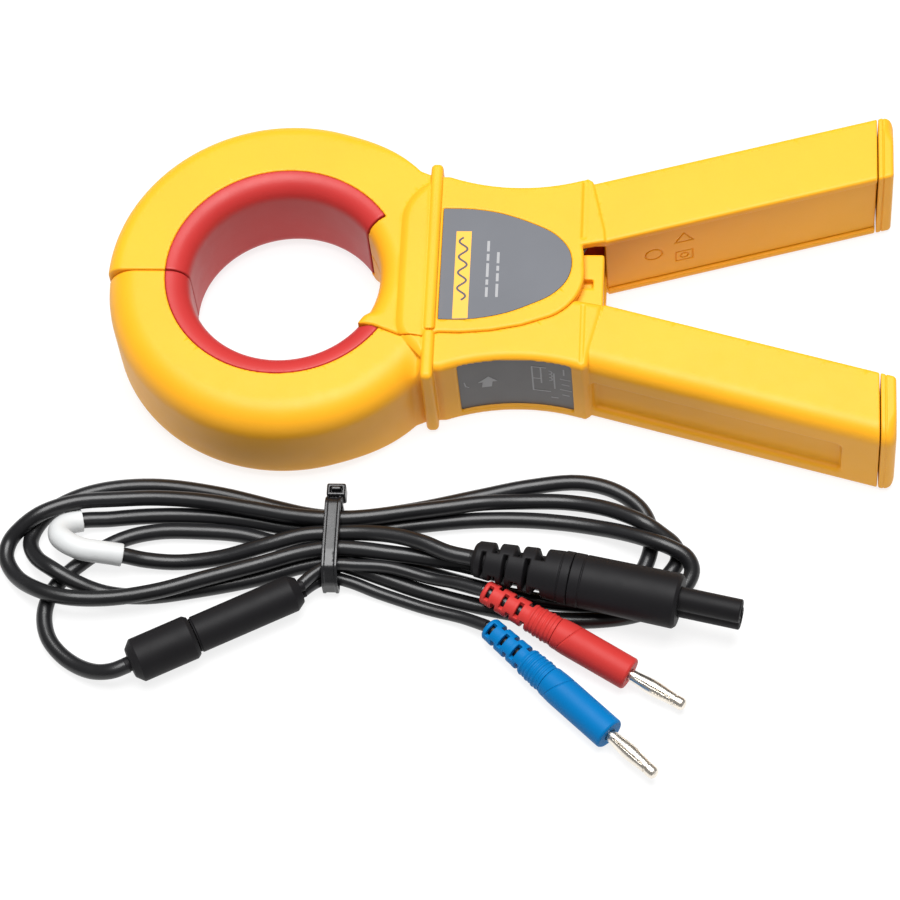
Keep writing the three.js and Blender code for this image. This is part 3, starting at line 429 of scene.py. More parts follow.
SIDE_LABEL_FIRST, SIDE_LABEL_LAST = 105.4, 74.8  # degrees about the waist's arc
LUG_LOW, LUG_HIGH = 3.8, 8.2
GUARD_RISE = 1.4
LAP_EDGE = (
    [(21.5, -16.4), (25.5, -17.1), (33.3, -20.3), (39.1, -21.2), (43.5, -19.3), (49.6, -19.4)]
    + [(57.7, -18.7), (66, -17)]
    + arc(15.7, -64, 4, 20, PIVOT_X)
    + [(82.3, 6.9), (81.7, 9.9), ROOT]
)
LAP = LAP_EDGE + [(84.4, 24), (21.5, 24)]


def offset_path(points, distance):
    out = []
    for i, (x, y) in enumerate(points):
        ax, ay = points[max(i - 1, 0)]
        bx, by = points[min(i + 1, len(points) - 1)]
        length = math.hypot(bx - ax, by - ay)
        out.append((x - (by - ay) / length * distance, y + (bx - ax) / length * distance))
    return out


LAP_ROOM = offset_path(LAP_EDGE, -GAP) + [(ROOT[0], 24), (21.5, 24)]  # what a plate is given to lie in


def eased(start, end, share):
    """From start to end as share goes from 0 to 1, with no slope at either end."""
    share = np.clip(share, 0.0, 1.0)
    return start + (end - start) * share * share * (3 - 2 * share)


def over_plan(f, points):
    """The distance to an outline in plan, for every cell of a field."""
    return polygon(points, f.x[:, :, 0], f.y[:, :, 0])[..., None]


def bar_outline(low, high):
    """The section of a handle: across it, and up."""
    corners = [(0, low), (HANDLE_WIDTH, low), (HANDLE_WIDTH, high), (0, high)]
    return rounded_path(corners, [0.9, 5, 1.2, 0.9], 10)


def handle_bar(f, y, z, low, high):
    """A handle's hollow bar, open on its inner side, with the long recess in its outer side."""
    c, s = math.cos(HANDLE_ANGLE), math.sin(HANDLE_ANGLE)
    dx, dy = f.x - ROOT[0], y - ROOT[1]
    out, along = dy * c - dx * s, dx * c + dy * s
    hollow = [(-9, low + WALL), (15, low + WALL), (15, high - WALL), (-9, high - WALL)]
    recess = [(HANDLE_WIDTH + a, b) for a, b in ((-2, 10.8), (4, 8.6), (4, 26), (-2, 23.6))]
    solid, hollow, recess = (
        f.table(lambda a, b, outline=outline: polygon(outline, a, b), out, z)
        for outline in (
            bar_outline(low, high),
            rounded_path(hollow, [0, 1, 1, 0]),
            rounded_path(recess, [1.2, 0, 0, 1.2]),
        )
    )
    bar = both(cut(solid, f.x - (CAP_X - GAP), 0.3), -along)
    bar = carve(bar, cut(recess, slab(along, 2, 72), 1.5), 0.8)
    return carve(bar, hollow, 0.35)


def half_body(f, sign):
    """One half of the clamp, as both are moulded; sign is that of the half's y."""
    x, y = f.x, f.y * sign
    z = f.z if sign > 0 else T - f.z
    seen = f if sign > 0 else Turned(f)
    rho = dist(x, y)
    angle = np.degrees(np.arctan2(y, x))
    side = arc(WAIST_RADIUS, -110, -71.5, 24, *WAIST_ARC)
    waist = [(38, -2), (38.5, 0.2), ROOT, (88, 13.4), (84.4, 29.4)] + side[::-1] + [(38, 31)]
    plan = join(rho - RING_RADIUS, over_plan(seen, waist), 3.0)
    front = eased(LAP_FACE_ROUND, EDGE, (x - 14.0) / 24.0)
    rear = FAR_FACE_ROUND + (FAR_EDGE - FAR_FACE_ROUND) * np.clip((x - 38.0) / 4.5, 0.0, 1.0)
    body = cut(cut(cut(plan, z - T, front), -z, rear), SEAM - y, 0.45)

    # the ring's hollow, the hole for the core's end, the waist's hollow and the liner's seat
    cavity = cut(cut(rho - (RING_RADIUS - WALL), z - (T - WALL), 2.0), WALL - z, 3.0)
    cavity = both(cavity, np.where(x < 0, JAW_END - y, -9.0))
    pole = both(slab(rho, CORE_IN, CORE_OUT), slab(z, CORE_LOW, CORE_HIGH), x)
    seat = both(rho - (LINER_RADIUS + 0.06), THROAT - angle, -184 + np.abs(angle))
    waist_hole = [(36, -40), (96, -40), (96, 26.2), (82, 26.2)]
    waist_hole += arc(WAIST_RADIUS + WALL, -110, -71.5, 16, *WAIST_ARC)[::-1] + [(36, 26.5)]
    room = both(over_plan(seen, waist_hole), slab(z, PLATE + GAP, T - WALL))
    body = carve(body, seat, 0.12)
    body = both(body, -either(cavity, room, both(pole, y - POLE_DEPTH)))
    body = either(body, handle_bar(f, y, z, *HANDLE_HEIGHTS[sign]))

    # what the other half laps over is left free, and the lapping plate of this half is added
    other = [(px, -py) for px, py in LAP_ROOM]
    body = carve(body, both(over_plan(seen, other), z - (PLATE + GAP)), 0.25)
    lap = both(cut(over_plan(seen, LAP), z - T, 0.8), (T - PLATE) - z)
    lap = both(lap, -seat)
    off = np.abs(angle) - LIP_END
    lip = both(rho - 29, MIDDLE + GAP - z, off)
    lip = either(lip, both(rho - 33.5, T - 8.5 - z, off * 0.5))
    body = either(body, lap, both(lip, z - T))
    roll = eased(LIP_ROUND, TIP_ROUND, (-24.0 - angle) / 8.0)
    body = both(body, cut(z - T, BORE_WALL - rho, roll))

    # the hinge's eye, the lug that reaches into the other half with its foot, and a groove at the neck
    about = dist(x - PIVOT_X, y)
    turn = np.degrees(np.arctan2(y, x - PIVOT_X))
    body = either(body, both(about - 7.4, slab(z, T - PLATE - 5.3, T - PLATE + 0.5)))
    body = carve(body, both(about - 4.3, slab(z, T - PLATE - 6, T - 1.9)))
    lug = cut(cut(14.2 - about, x - 87.9, 0.4), slab(z, LUG_LOW, LUG_HIGH), 0.6)
    lug = both(cut(lug, slab(y, -7.8, 15.5), 0.4), 78.0 - x)
    pocket = cut(slab(x, 78.0, 85.0), slab(y, 0.2, 2.9), 0.4)
    lug = carve(lug, both(pocket, z - 6.0), 0.3)
    foot = both(slab(about, 17.9, 20.8), slab(z, 0.6, LUG_HIGH), slab(turn, 38, 58) * 0.3)
    neck = either(
        both(slab(x, 81.6, 82.7), (T - 0.3) - z), both(slab(x, 82.2, 83.1), z - 0.3)
    )
    body = carve(body, both(neck, 10.6 - y), 0.1)
    return either(body, lug, foot, guard(x, y, z, sign))


class Turned:
    """A field's plan as the turned-over half sees it."""

    def __init__(self, f):
        self.x, self.y = f.x, -f.y


def guard(x, y, z, sign):
    """A half's share of the finger guard, which stands proud of the front face only."""
    low, high = (0.0, T + GUARD_RISE) if sign > 0 else (-GUARD_RISE, T)
    rib = slab(x, 39.3, 42.7)
    upright = cut(slab(y, 28.5, 34.5), slab(z, low, high), 1.6)
    over = cut(slab(y, -19.1, 33.5), slab(z, T - PLATE, high), 0.3)
    under = cut(slab(y, 19.45, 33.5), slab(z, low, WALL), 0.3)
    return cut(either(upright, over, under), rib, 1.3)


FRONT_LABEL = [
    (43.4, -15.2), (49.1, -15.3), (54.8, -14.7), (61.6, -13.1), (68.3, -10.3), (73.9, -7.2),
    (77.7, -2.9), (79.1, 2.2), (78.2, 7.2), (74.3, 12), (67.3, 15.8), (58.9, 18.8), (50.9, 20.1),
    (43.4, 20.3),
]
STEP_PLATE = [
    (41, -30), (39.4, -27.6), (37.1, -25.2), (34.9, -22.6), (33.0, -20.2), (31.9, -17.6), (31.9, -9),
    (31.9, 0), (31.9, 9), (31.9, 17.6), (32.6, 20.6), (33.8, 23.3), (35.8, 26), (38, 28), (41, 30),
]
STEP_RISE, STEP_SLOPE, STEP_END = 1.2, 2.3, 40.5


def smooth_closed(points):
    """Chaikin's corner cutting, twice over."""
    p = np.array(points, float)
    for _ in range(2):
        q = np.roll(p, -1, axis=0)
        p = np.stack([0.75 * p + 0.25 * q, 0.25 * p + 0.75 * q], axis=1).reshape(-1, 2)
    return [tuple(v) for v in p]


def step_plate(f):
    """The raised step in front of the guard, on both halves."""
    plan = over_plan(f, smooth_closed(STEP_PLATE))
    share = np.clip(-plan / STEP_SLOPE, 0.0, 1.0)
    top = T + STEP_RISE * (1.0 - (1.0 - share) ** 1.7)
    return both(plan, f.x - STEP_END, f.z - top, (T - 2) - f.z)


def make_upper_half():
    f = Field((-50.5, -22.8, -1.5), (164.3, 53.5, 31.6), FINE)
    body = half_body(f, 1)
    step = both(step_plate(f), either(-f.y, over_plan(f, LAP)))
    body = either(body, step)
    body = carve(body, both(over_plan(f, label_outline(0.06)), (T - 1.0) - f.z), 0.25)
    dress(f.mesh("upper_shell_moulding", body), UPPER, "shell_yellow", AMBER, "upper_shell")


def make_lower_half():
    f = Field((-50.5, -53.5, -1.5), (164.3, 22.8, 31.6), FINE)
    body = half_body(f, -1)
    body = either(body, both(step_plate(f), -over_plan(f, LAP_ROOM), f.y + SEAM))
    dx, dy = f.x - WAIST_ARC[0], f.y + WAIST_ARC[1]
    toward = slab(np.degrees(np.arctan2(dy, dx)), SIDE_LABEL_LAST - 0.1, SIDE_LABEL_FIRST + 0.1)
    recess = both(slab(dist(dx, dy), 56, WAIST_RADIUS + 1.2), toward)
    body = carve(body, cut(recess, slab(f.z, 2.5, 26.9), 0.8), 0.2)
    body = carve(body, both(dist(f.x - PIVOT_X, f.y) - 4.7, f.z - 2.9), 0.2)
    dress(f.mesh("lower_shell_moulding", body), LOWER, "shell_yellow", AMBER, "lower_shell")


def make_liners():
    """The red channels that line the jaw."""
    lip, foot, flange = LIP_ROUND, 4.6, 2.2
    back = BORE_RADIUS + 2.6
    face = [(LINER_RADIUS, T), (BORE_RADIUS + lip, T)]
    face += arc(lip, 90, 180, 12, BORE_RADIUS + lip, T - lip)
    face += arc(foot, 180, 270, 10, BORE_RADIUS + foot, foot) + [(LINER_RADIUS, 0)]
    channel = face + [
        (LINER_RADIUS, flange), (back, flange + 2), (back, T - flange - 2), (LINER_RADIUS, T - flange),
    ]
    for name, sign, body in HALVES:
        low = (-33.8, -0.6, -0.9) if sign > 0 else (-33.8, -33.8, -0.9)
        high = (33.8, 33.8, 29.8) if sign > 0 else (33.8, 0.6, 29.8)
        f = Field(low, high, FINE * 0.85)
        rho = dist(f.x, f.y)
        angle = np.degrees(np.arctan2(sign * f.y, f.x))
        ring = f.table(lambda a, b: polygon(channel, a, b), rho, f.z)
        filled = f.table(lambda a, b: polygon(face, a, b), rho, f.z)
        ring = either(ring, both(filled, sign * f.y - 2.0, f.x))
        ring = cut(ring, 0.2 - sign * f.y, 0.35)
        ring = cut(ring, (THROAT + 1 - angle) * 0.5, 0.3)
        lap = over_plan(f, [(px, -py * sign) for px, py in LAP_ROOM])
        reach = (T - PLATE - GAP) - f.z if sign < 0 else f.z - (PLATE + GAP)
        ring = carve(ring, both(lap, reach), 0.2)
        dress(f.mesh(f"{name}_liner_ring", ring), body, "liner_red", RED, f"{name}_liner")


# ---- Pieces laid along a line ----------------------------------------------------------------------


class Line:
    """The frame of a piece that lies along a line: x runs along it, y to its left, z above it."""

    def __init__(self, start, end):
        self.start = np.array(start, float)
        along = np.array(end, float) - self.start
        self.length = float(np.linalg.norm(along))
        along /= self.length
        left = np.cross((0.0, 0.0, 1.0), along)
        left /= np.linalg.norm(left)
        self.axes = np.stack([along, left, np.cross(along, left)])

    def place(self, points):
        return metres(np.asarray(points, float) @ self.axes + self.start)


def handle_place(sign):
    """From (along, out, height) about a handle's root to the row frame; the lower handle is turned over."""
    c, s = math.cos(HANDLE_ANGLE), math.sin(HANDLE_ANGLE)

    def place(points):
        p = np.asarray(points, float)
        x = ROOT[0] + p[:, 0] * c - p[:, 1] * s
        y = ROOT[1] + p[:, 0] * s + p[:, 1] * c
        z = p[:, 2] if sign > 0 else T - p[:, 2]
        return metres(np.stack([x, sign * y, z], axis=1))

    return place


def turned(f, profile):
    """A profile of [x, radius] points turned about the x axis."""
    radius = dist(f.y, f.z)[0]
    step = f.pitch / 2
    rows = (np.arange(int(radius.max() / step) + 3) * step).astype(np.float32)
    outline = list(profile) + [(x, -r) for x, r in reversed(profile) if r > 0]
    flat = polygon(outline, f.x[:, 0], rows[None, :])
    at = radius / step
    first = at.astype(np.int32)
    share = (at - first).astype(np.float32)
    return flat[:, first] * (1 - share) + flat[:, first + 1] * share


def about_axis(f):
    return dist(f.y, f.z), np.degrees(np.arctan2(f.z, f.y))


def two_sided(angle, centre, half, radius):
    """Distance into the two opposite sectors about a direction."""
    off = np.abs((angle - centre + 90.0) % 180.0 - 90.0)
    return np.radians(off - half) * radius


def along_line(line, high, radius, pitch, low=-0.8):
    return Field((low, -radius, -radius), (high, radius, radius), pitch)


SPLITTER = Line((-36, -109.5, 6.2), (8.1, -86.9, 6.2))
CONNECTOR = Line((54.9, -79.9, 12.3), (126.3, -95.9, 12.3))
RED_PLUG = Line((58, -88, 9), (111.8, -118.3, 3.1))
BLUE_PLUG = Line((59.3, -96.7, 4.5), (104.6, -139, 4.5))
COLLAR = 18.6
BOOT, BODY_END, NOSE_END = 27.0, 56.6, 73.2
PLUG_BOOT, PLUG_BODY = 22.3, 45.2
SMALL = 0.17


def root_stub(f, radius, low, high, height=0.0):
    """The stub of cord that a moulding holds."""
    return both(dist(f.y, f.z - height) - radius, slab(f.x, low, high))


def rubber(f, field, node, line):
    """A black moulding of the lead."""
    return dress(f.mesh(f"{node}_piece", field, move=line.place), LOWER, "lead_black", RUBBER, node)


def make_splitter():
    f = along_line(SPLITTER, COLLAR + 0.8, 6.9, SMALL * 1.2, -1.9)
    collar = turned(f, [(0, 0), (0, 3.9), (2.1, 6.1), (COLLAR - 1.1, 6.1), (COLLAR, 5.3), (COLLAR, 0)])
    collar = cut(collar, -f.x, 0.3)
    gate = dist(f.x - 9.4, f.y + 5.1, f.z + 3.5) - 0.7
    collar = either(carve(collar, gate, 0.2), root_stub(f, 2.1, -1.4, 1.0))
    one = rubber(f, collar, "splitter_collar", SPLITTER)
    end = SPLITTER.length
    f = along_line(SPLITTER, end + 1.8, 5.8, SMALL * 1.2, COLLAR - 0.4)
    start = COLLAR + 0.2
    barrel = turned(f, [(start, 0), (start, 5.1), (end - 2.4, 5.1), (end, 3.5), (end, 0)])
    ring = both(5.1 - 0.35 - dist(f.y, f.z), slab(f.x, start, start + 0.5))
    for height in (-1.85, 1.85):
        barrel = either(barrel, root_stub(f, 1.6, end - 1.0, end + 1.3, height))
    gate = dist(f.x - end + 9.5, f.y + 4.3, f.z + 2.9) - 0.6
    barrel = carve(carve(barrel, ring, 0.1), gate, 0.2)
    return [one, rubber(f, barrel, "splitter_barrel", SPLITTER)]


def make_connector():
    f = along_line(CONNECTOR, BOOT + 0.8, 8.2, SMALL * 1.1, -1.5)
    radius, angle = about_axis(f)
    profile = [(0, 0), (0, 3.7), (1.2, 4.9), (19.5, 6.55), (24.2, 6.95), (24.5, 7.15), (BOOT, 7.2)]
    boot = cut(turned(f, profile + [(BOOT, 0)]), -f.x, 0.4)
    for centre, first in ((35.0, 6.3), (140.0, 3.2)):
        for k in range(3):
            at = first + 6.15 * k
            half = 0.45 + np.maximum(radius - 4.2, 0.0) * (0.42 if centre < 90 else 0.12)
            slot = both(np.abs(f.x - at + (radius - 5.0) * 0.15) - half, 3.0 - radius)
            slot = both(slot, two_sided(angle, centre, 52.0, radius))
            boot = carve(boot, slot, 0.35)
    boot = carve(boot, both(6.75 - radius, slab(f.x, 24.15, 24.5)), 0.1)
    boot = either(boot, root_stub(f, 2.1, -1.0, 1.0))
    pieces = [rubber(f, boot, "connector_boot", CONNECTOR)]

    f = along_line(CONNECTOR, BODY_END + 0.8, 8.2, SMALL * 1.1, BOOT - 0.4)
    radius, angle = about_axis(f)
    start = BOOT + 0.2
    profile = [(start, 0), (start, 7.2), (BODY_END - 0.9, 7.45), (BODY_END, 6.7), (BODY_END, 0)]
    body = turned(f, profile)
    body = carve(body, both(7.0 - radius, slab(f.x, 30.0, 30.4)), 0.1)
    body = carve(body, both(figure_eight(f, 3.35), BODY_END - 1.2 - f.x), 0.15)
    pieces.append(rubber(f, body, "connector_body", CONNECTOR))

    f = along_line(CONNECTOR, NOSE_END + 0.8, 6.2, SMALL, BODY_END - 1.6)
    nose = figure_eight(f, 3.2)
    nose = cut(cut(nose, f.x - NOSE_END, 0.45), BODY_END - 1.1 - f.x, 0.1)
    for height in (-2.0, 2.0):
        hole = dist(f.y, f.z - height)
        nose = carve(nose, both(hole - 1.5, NOSE_END - 12 - f.x), 0.15)
        nose = carve(nose, both(np.abs(hole - 2.35) - 0.22, NOSE_END - 0.3 - f.x))
    return pieces + [rubber(f, nose, "connector_nose", CONNECTOR)]


def figure_eight(f, radius):
    low = dist(f.y, f.z + 2.0) - radius
    high = dist(f.y, f.z - 2.0) - radius
    return join(low, high, 0.25)


def make_plug(name, line, material, slot):
    pieces = []

    def add(f, field, part, slot, material):
        piece = f.mesh(f"{name}_{part}_piece", field, move=line.place)
        pieces.append(dress(piece, LOWER, slot, material, f"{name}_plug_{part}"))

    f = along_line(line, PLUG_BOOT + 0.6, 5.2, SMALL)
    radius, angle = about_axis(f)
    profile = [(0, 0), (0, 2.8), (0.5, 3.25), (14.4, 3.75)]
    for k in range(6):
        x = 14.6 + 1.2 * k
        r = 3.62 + 0.06 * k + (0.16 if k % 2 == 0 else 0.0)
        profile += [(x, r), (x + 0.15, r + 0.2), (x + 0.6, r + 0.2), (x + 0.75, r)]
    profile += [(PLUG_BOOT - 0.4, 4.0), (PLUG_BOOT, 4.05), (PLUG_BOOT, 0)]
    boot = turned(f, profile)
    boot = carve(boot, both(radius - 1.95, f.x - 15.5))
    for centre, first, half in ((110.0, 1.9, 40.0), (198.0, 4.25, 48.0)):
        for k in range(3):
            at = first + 4.65 * k
            rib = np.abs(f.x - at) - 0.6
            boot = carve(boot, both(rib, two_sided(angle, centre, half, radius)), 0.2)
            boot = carve(boot, both(rib, 3.3 + 0.03 * at - radius), 0.15)
    add(f, boot, "boot", slot, material)

    stub = along_line(line, 16.0, 2.4, SMALL, -1.3)
    core = stub.mesh(f"{name}_lead_stub", root_stub(stub, 1.68, -0.8, 15.4), move=line.place)
    pieces.append(dress(core, LOWER, "lead_black", SHEATH))

    f = along_line(line, PLUG_BODY + 0.6, 5.2, SMALL, PLUG_BOOT - 0.3)
    start = PLUG_BOOT + 0.1
    profile = [(start, 0), (start, 4.15), (start + 0.5, 4.3), (start + 4, 4.5), (PLUG_BODY - 0.5, 4.5)]
    profile += [(PLUG_BODY, 4.1), (PLUG_BODY, 0)]
    body = turned(f, profile)
    radius, angle = about_axis(f)
    slant = f.x - 26.2 - 0.43 * (f.y * 0.87 + f.z * 0.5)
    body = carve(body, both(np.abs(slant) - 0.14, 4.28 - radius), 0.05)
    body = carve(body, both(radius - 1.75, PLUG_BODY - 9.8 - f.x), 0.15)
    add(f, body, "body", slot, material)

    end = line.length
    f = along_line(line, end + 0.5, 2.7, SMALL * 0.65, PLUG_BODY - 9.8)
    radius, angle = about_axis(f)
    profile = [(PLUG_BODY - 9.6, 0), (PLUG_BODY - 9.6, 1.45), (PLUG_BODY + 0.9, 1.45), (PLUG_BODY + 1.1, 1.15)]
    profile += [(end - 4.4, 1.15), (end - 4.2, 1.5), (end - 3.1, 1.5), (end - 2.9, 1.72)]
    profile += [(end - 1.1, 1.72), (end - 0.45, 1.45), (end, 0.8), (end, 0)]
    pin = turned(f, profile)
    pin = carve(pin, both(1.58 - radius, slab(f.x, end - 3.3, end - 3.0)))
    add(f, pin, "pin", "pin_nickel", NICKEL)

    first, last = PLUG_BODY + 0.5, end - 3.4
    outside, inside = [], []
    for share in (i / 15 for i in range(16)):
        bulge = 0.5 - 0.5 * math.cos(2 * math.pi * share)
        x = first + (last - first) * share
        outside.append((x, 1.72 + 0.43 * bulge))
        inside.append((x, 1.47 + 0.4 * bulge))
    shell = turned(f, [(first, 0)] + outside + [(last, 0)])
    inside = [(first - 1, 0), (first - 1, 1.47)] + inside + [(last + 1, 1.47), (last + 1, 0)]
    shell = carve(shell, turned(f, inside))
    slots = np.radians(np.abs((angle + 22.0) % 90.0 - 45.0)) * radius - 0.22
    shell = carve(shell, both(slots, slab(f.x, first + 1.4, last - 1.0)), 0.06)
    add(f, shell, "lantern", "pin_nickel", NICKEL)
    return pieces


def smooth_path(knots, steps, floor):
    """The centripetal curve through the knots, never lower than the floor allows."""
    p = np.array(knots, float)
    p = np.vstack([2 * p[0] - p[1], p, 2 * p[-1] - p[-2]])
    out = []
    for i in range(1, len(p) - 2):
        a, b, c, d = p[i - 1 : i + 3]
        t0 = 0.0
        t1 = t0 + np.linalg.norm(b - a) ** 0.5
        t2 = t1 + np.linalg.norm(c - b) ** 0.5
        t3 = t2 + np.linalg.norm(d - c) ** 0.5
        for k in range(steps):
            t = t1 + (t2 - t1) * k / steps
            ab = (t1 - t) / (t1 - t0) * a + (t - t0) / (t1 - t0) * b
            bc = (t2 - t) / (t2 - t1) * b + (t - t1) / (t2 - t1) * c
            cd = (t3 - t) / (t3 - t2) * c + (t - t2) / (t3 - t2) * d
            abc = (t2 - t) / (t2 - t0) * ab + (t - t0) / (t2 - t0) * bc
            bcd = (t3 - t) / (t3 - t1) * bc + (t - t1) / (t3 - t1) * cd
            out.append((t2 - t) / (t2 - t1) * abc + (t - t1) / (t2 - t1) * bcd)
    out.append(p[-2])
    path = np.array(out)
    path[:, 2] = np.maximum(path[:, 2], floor)
    return path


def make_cord(name, path, diameter, node):
    curve = bpy.data.curves.new(name, "CURVE")
    curve.dimensions = "3D"
    curve.bevel_depth = diameter / 2000.0
    curve.bevel_resolution = 5
    curve.use_fill_caps = True
    points = metres(path)
    spline = curve.splines.new("POLY")
    spline.points.add(len(points) - 1)
    four = np.hstack([points, np.ones((len(points), 1))])
    spline.points.foreach_set("co", four.astype(np.float32).ravel())
    piece = link(name, curve)
    dress(piece, LOWER, "lead_black", SHEATH, node)


def make_sleeve(path):
    """The soft white marker tube round the lead."""
    f = Field(path.min(axis=0) - 4.2, path.max(axis=0) + 4.2, SMALL * 1.3)
    distance = np.full(np.broadcast_shapes(f.x.shape, f.y.shape, f.z.shape), 1e9, np.float32)
    run = np.zeros_like(distance)
    total = 0.0
    for a, b in zip(path[:-1], path[1:]):
        e = b - a
        length = float(np.linalg.norm(e))
        w = [axis - v for axis, v in zip((f.x, f.y, f.z), a)]
        t = np.clip((w[0] * e[0] + w[1] * e[1] + w[2] * e[2]) / length**2, 0, 1)
        d = sum((wi - ei * t) ** 2 for wi, ei in zip(w, e))
        nearer = d < distance
        distance = np.where(nearer, d, distance)
        run = np.where(nearer, total + t * length, run)
        total += length
    distance = np.sqrt(distance)
    crease = 0.025 * np.sin(run * 1.3) * np.sin(run * 0.47 + 1.0)
    tube = np.abs(distance - 2.9 - crease) - 0.22
    for end, tip in ((path[0], path[1]), (path[-1], path[-2])):
        n = (tip - end) / np.linalg.norm(tip - end)
        plane = (f.x - end[0]) * n[0] + (f.y - end[1]) * n[1] + (f.z - end[2]) * n[2]
        near = (f.x - end[0]) ** 2 + (f.y - end[1]) ** 2 + (f.z - end[2]) ** 2 < 36.0
        tube = np.where(near, cut(tube, -plane, 0.12), tube)
    tube = cut(tube, 0.05 - f.z, 0.1)
    return dress(f.mesh("marker_sleeve_tube", tube), LOWER, "sleeve_white", WHITE, "marker_sleeve")


def make_tie():
    f = Field((12.6, -87.2, -0.4), (20.6, -55.8, 12.6), SMALL * 1.3)
    strap_path = [(-84.6, 1.25), (-61.2, 1.25), (-61.2, 10.45), (-77.2, 10.45), (-81.9, 9.9), (-84.6, 6.3)]
    inner = polygon(rounded_path(strap_path, [1.2, 1.6, 1.8, 2.5, 1.8, 1.5]), f.y[0], f.z[0])[None]
    strap = cut(slab(inner, 0.0, 1.1), slab(f.x, 13.8, 18.2), 0.25)
    rail = both(slab(f.x, 14.7, 17.3), 0.85 - inner)
    strap = carve(strap, rail, 0.12)
    head = cut(cut(slab(f.x, 14.0, 19.2), slab(f.y, -60.3, -56.6), 0.5), slab(f.z, 5.6, 10.8), 0.5)
    mouth = both(slab(f.x, 15.0, 18.2), slab(f.y, -59.4, -57.6))
    head = carve(head, both(mouth, 9.7 - f.z), 0.15)
    tail = cut(slab(f.x, 15.3, 17.9), slab(f.y, -59.0, -57.9), 0.2)
    tail = cut(tail, slab(f.z, 9.0, 11.7), 0.3)
    tie = join(join(strap, head, 0.3), tail, 0.0)
    return dress(f.mesh("cable_tie_band", tie), LOWER, "lead_black", TIE, "cable_tie")


def make_lead():
    """The test lead: its cords first, with the pieces that each carries."""
    main = smooth_path(MAIN_LEAD, LEAD_STEPS, LEAD / 2)
    splitter = make_splitter()
    connector = make_connector()
    first, last = (knot * LEAD_STEPS for knot in SLEEVE_KNOTS)
    pieces = splitter + connector + [make_sleeve(main[first : last + 1]), make_tie()]
    make_cord("main_lead", main, LEAD, "lead_cable")
    for name, knots, line, material in (
        ("red", RED_LEAD, RED_PLUG, PLUG_RED),
        ("blue", BLUE_LEAD, BLUE_PLUG, PLUG_BLUE),
    ):
        pieces = make_plug(name, line, material, f"plug_{name}")
        path = smooth_path(knots, 8, THIN_LEAD / 2)
        make_cord(f"{name}_plug_lead", path, THIN_LEAD, f"{name}_lead")


# ---- Caps, panels, socket, hinge and labels --------------------------------------------------------


def end_distance(f):
    """How far a cell of a handle's own frame lies past the root along the row's x axis."""
    return ROOT[0] + f.x * math.cos(HANDLE_ANGLE) - f.y * math.sin(HANDLE_ANGLE)


SOCKET_OUT, SOCKET_LOW, SOCKET_HIGH = 9.2, 12.6, 16.6


def socket_block(f, grow=0.0):
    half = 5.0 + grow
    across = slab(f.y, SOCKET_OUT - half, SOCKET_OUT + half)
    return cut(across, slab(f.z, SOCKET_LOW - half, SOCKET_HIGH + half), 1.0)


def make_handle_ends():
    for name, sign, body in HALVES:
        place = handle_place(sign)
        low, high = HANDLE_HEIGHTS[sign]
        f = Field((75.5, -0.8, low - 0.8), (88.2, HANDLE_WIDTH + 0.8, high + 0.8), SMALL * 1.25)
        along = end_distance(f)
        bar = polygon(bar_outline(low, high), f.y[0], f.z[0])[None]
        cap = cut(bar, along - END_X, eased(1.0, 3.6, (f.y - 10.0) / 7.0))
        cap = cut(cap, CAP_X - along, 0.4)
        cap = carve(cap, both(-0.3 - bar, slab(along, CAP_X + 1.25, CAP_X + 1.6)), 0.1)
        if sign < 0:
            cap = carve(cap, socket_block(f, 0.3), 0.2)
        piece = f.mesh(f"{name}_cap_moulding", cap, move=place)
        dress(piece, body, "shell_yellow", AMBER, f"{name}_end_cap")

        f = Field((-0.8, 0.3, low + 2), (78.5, 3.5, high - 2), SMALL * 1.25)
        panel = cut(slab(f.y, 0.9, 2.9), slab(f.z, low + WALL + GAP, high - WALL - GAP), 0.35)
        panel = cut(cut(panel, -0.1 - f.x, 0.3), end_distance(f) - (CAP_X - 0.4), 0.3)
        if sign > 0:
            panel = carve(panel, both(panel_marks(f), f.y - 1.3), 0.05)
        piece = f.mesh(f"{name}_panel_moulding", panel, move=place)
        dress(piece, body, "shell_yellow", AMBER, f"{name}_handle_panel")

    place = handle_place(-1)
    f = Field((65.2, 3.4, 6.8), (82.6, 15.0, 22.4), SMALL * 1.2)
    block = cut(cut(socket_block(f), 66 - f.x, 0.3), end_distance(f) - 166.6, 0.4)
    holes = [dist(f.y - SOCKET_OUT, f.z - h) for h in (SOCKET_LOW, SOCKET_HIGH)]
    lobes = join(*(hole - 3.6 for hole in holes), 0.25)
    block = carve(block, both(lobes, 68.5 - f.x), 0.3)
    for hole in holes:
        block = carve(block, hole - 0.9)
    dress(f.mesh("socket_block", block, move=place), LOWER, "socket_black", RUBBER, "socket_body")


def panel_marks(f):
    """Plain moulded outlines on the handle's inner strip: a ring, a triangle and a square."""
    ring = np.abs(dist(f.x - 13.5, f.z - 14.5) - 2.4)
    triangle, square = (
        np.abs(polygon(corners, f.x[:, 0], f.z[0])[:, None])
        for corners in (
            [(19.6, 17.8), (24.8, 17.8), (22.2, 22.2)],
            [(19.8, 8.5), (24.6, 8.5), (24.6, 13), (19.8, 13)],
        )
    )
    dot = np.abs(dist(f.x - 22.2, f.z - 10.75) - 1.1)
    return either(ring, triangle, square, dot) - 0.21


def make_barrier():
    """The red insulating wall inside the upper half, seen past the hinge's guide."""
    f = Field((78.5, 16.2, 4.5), (91.0, 19.0, 25.5), SMALL * 1.3)
    wall = cut(cut(slab(f.x, 79.5, 88.4), slab(f.y, 17.0, 18.0), 0.2), slab(f.z, 5.5, 24.5), 0.2)
    dress(f.mesh("hinge_barrier", wall), UPPER, "liner_red", RED)


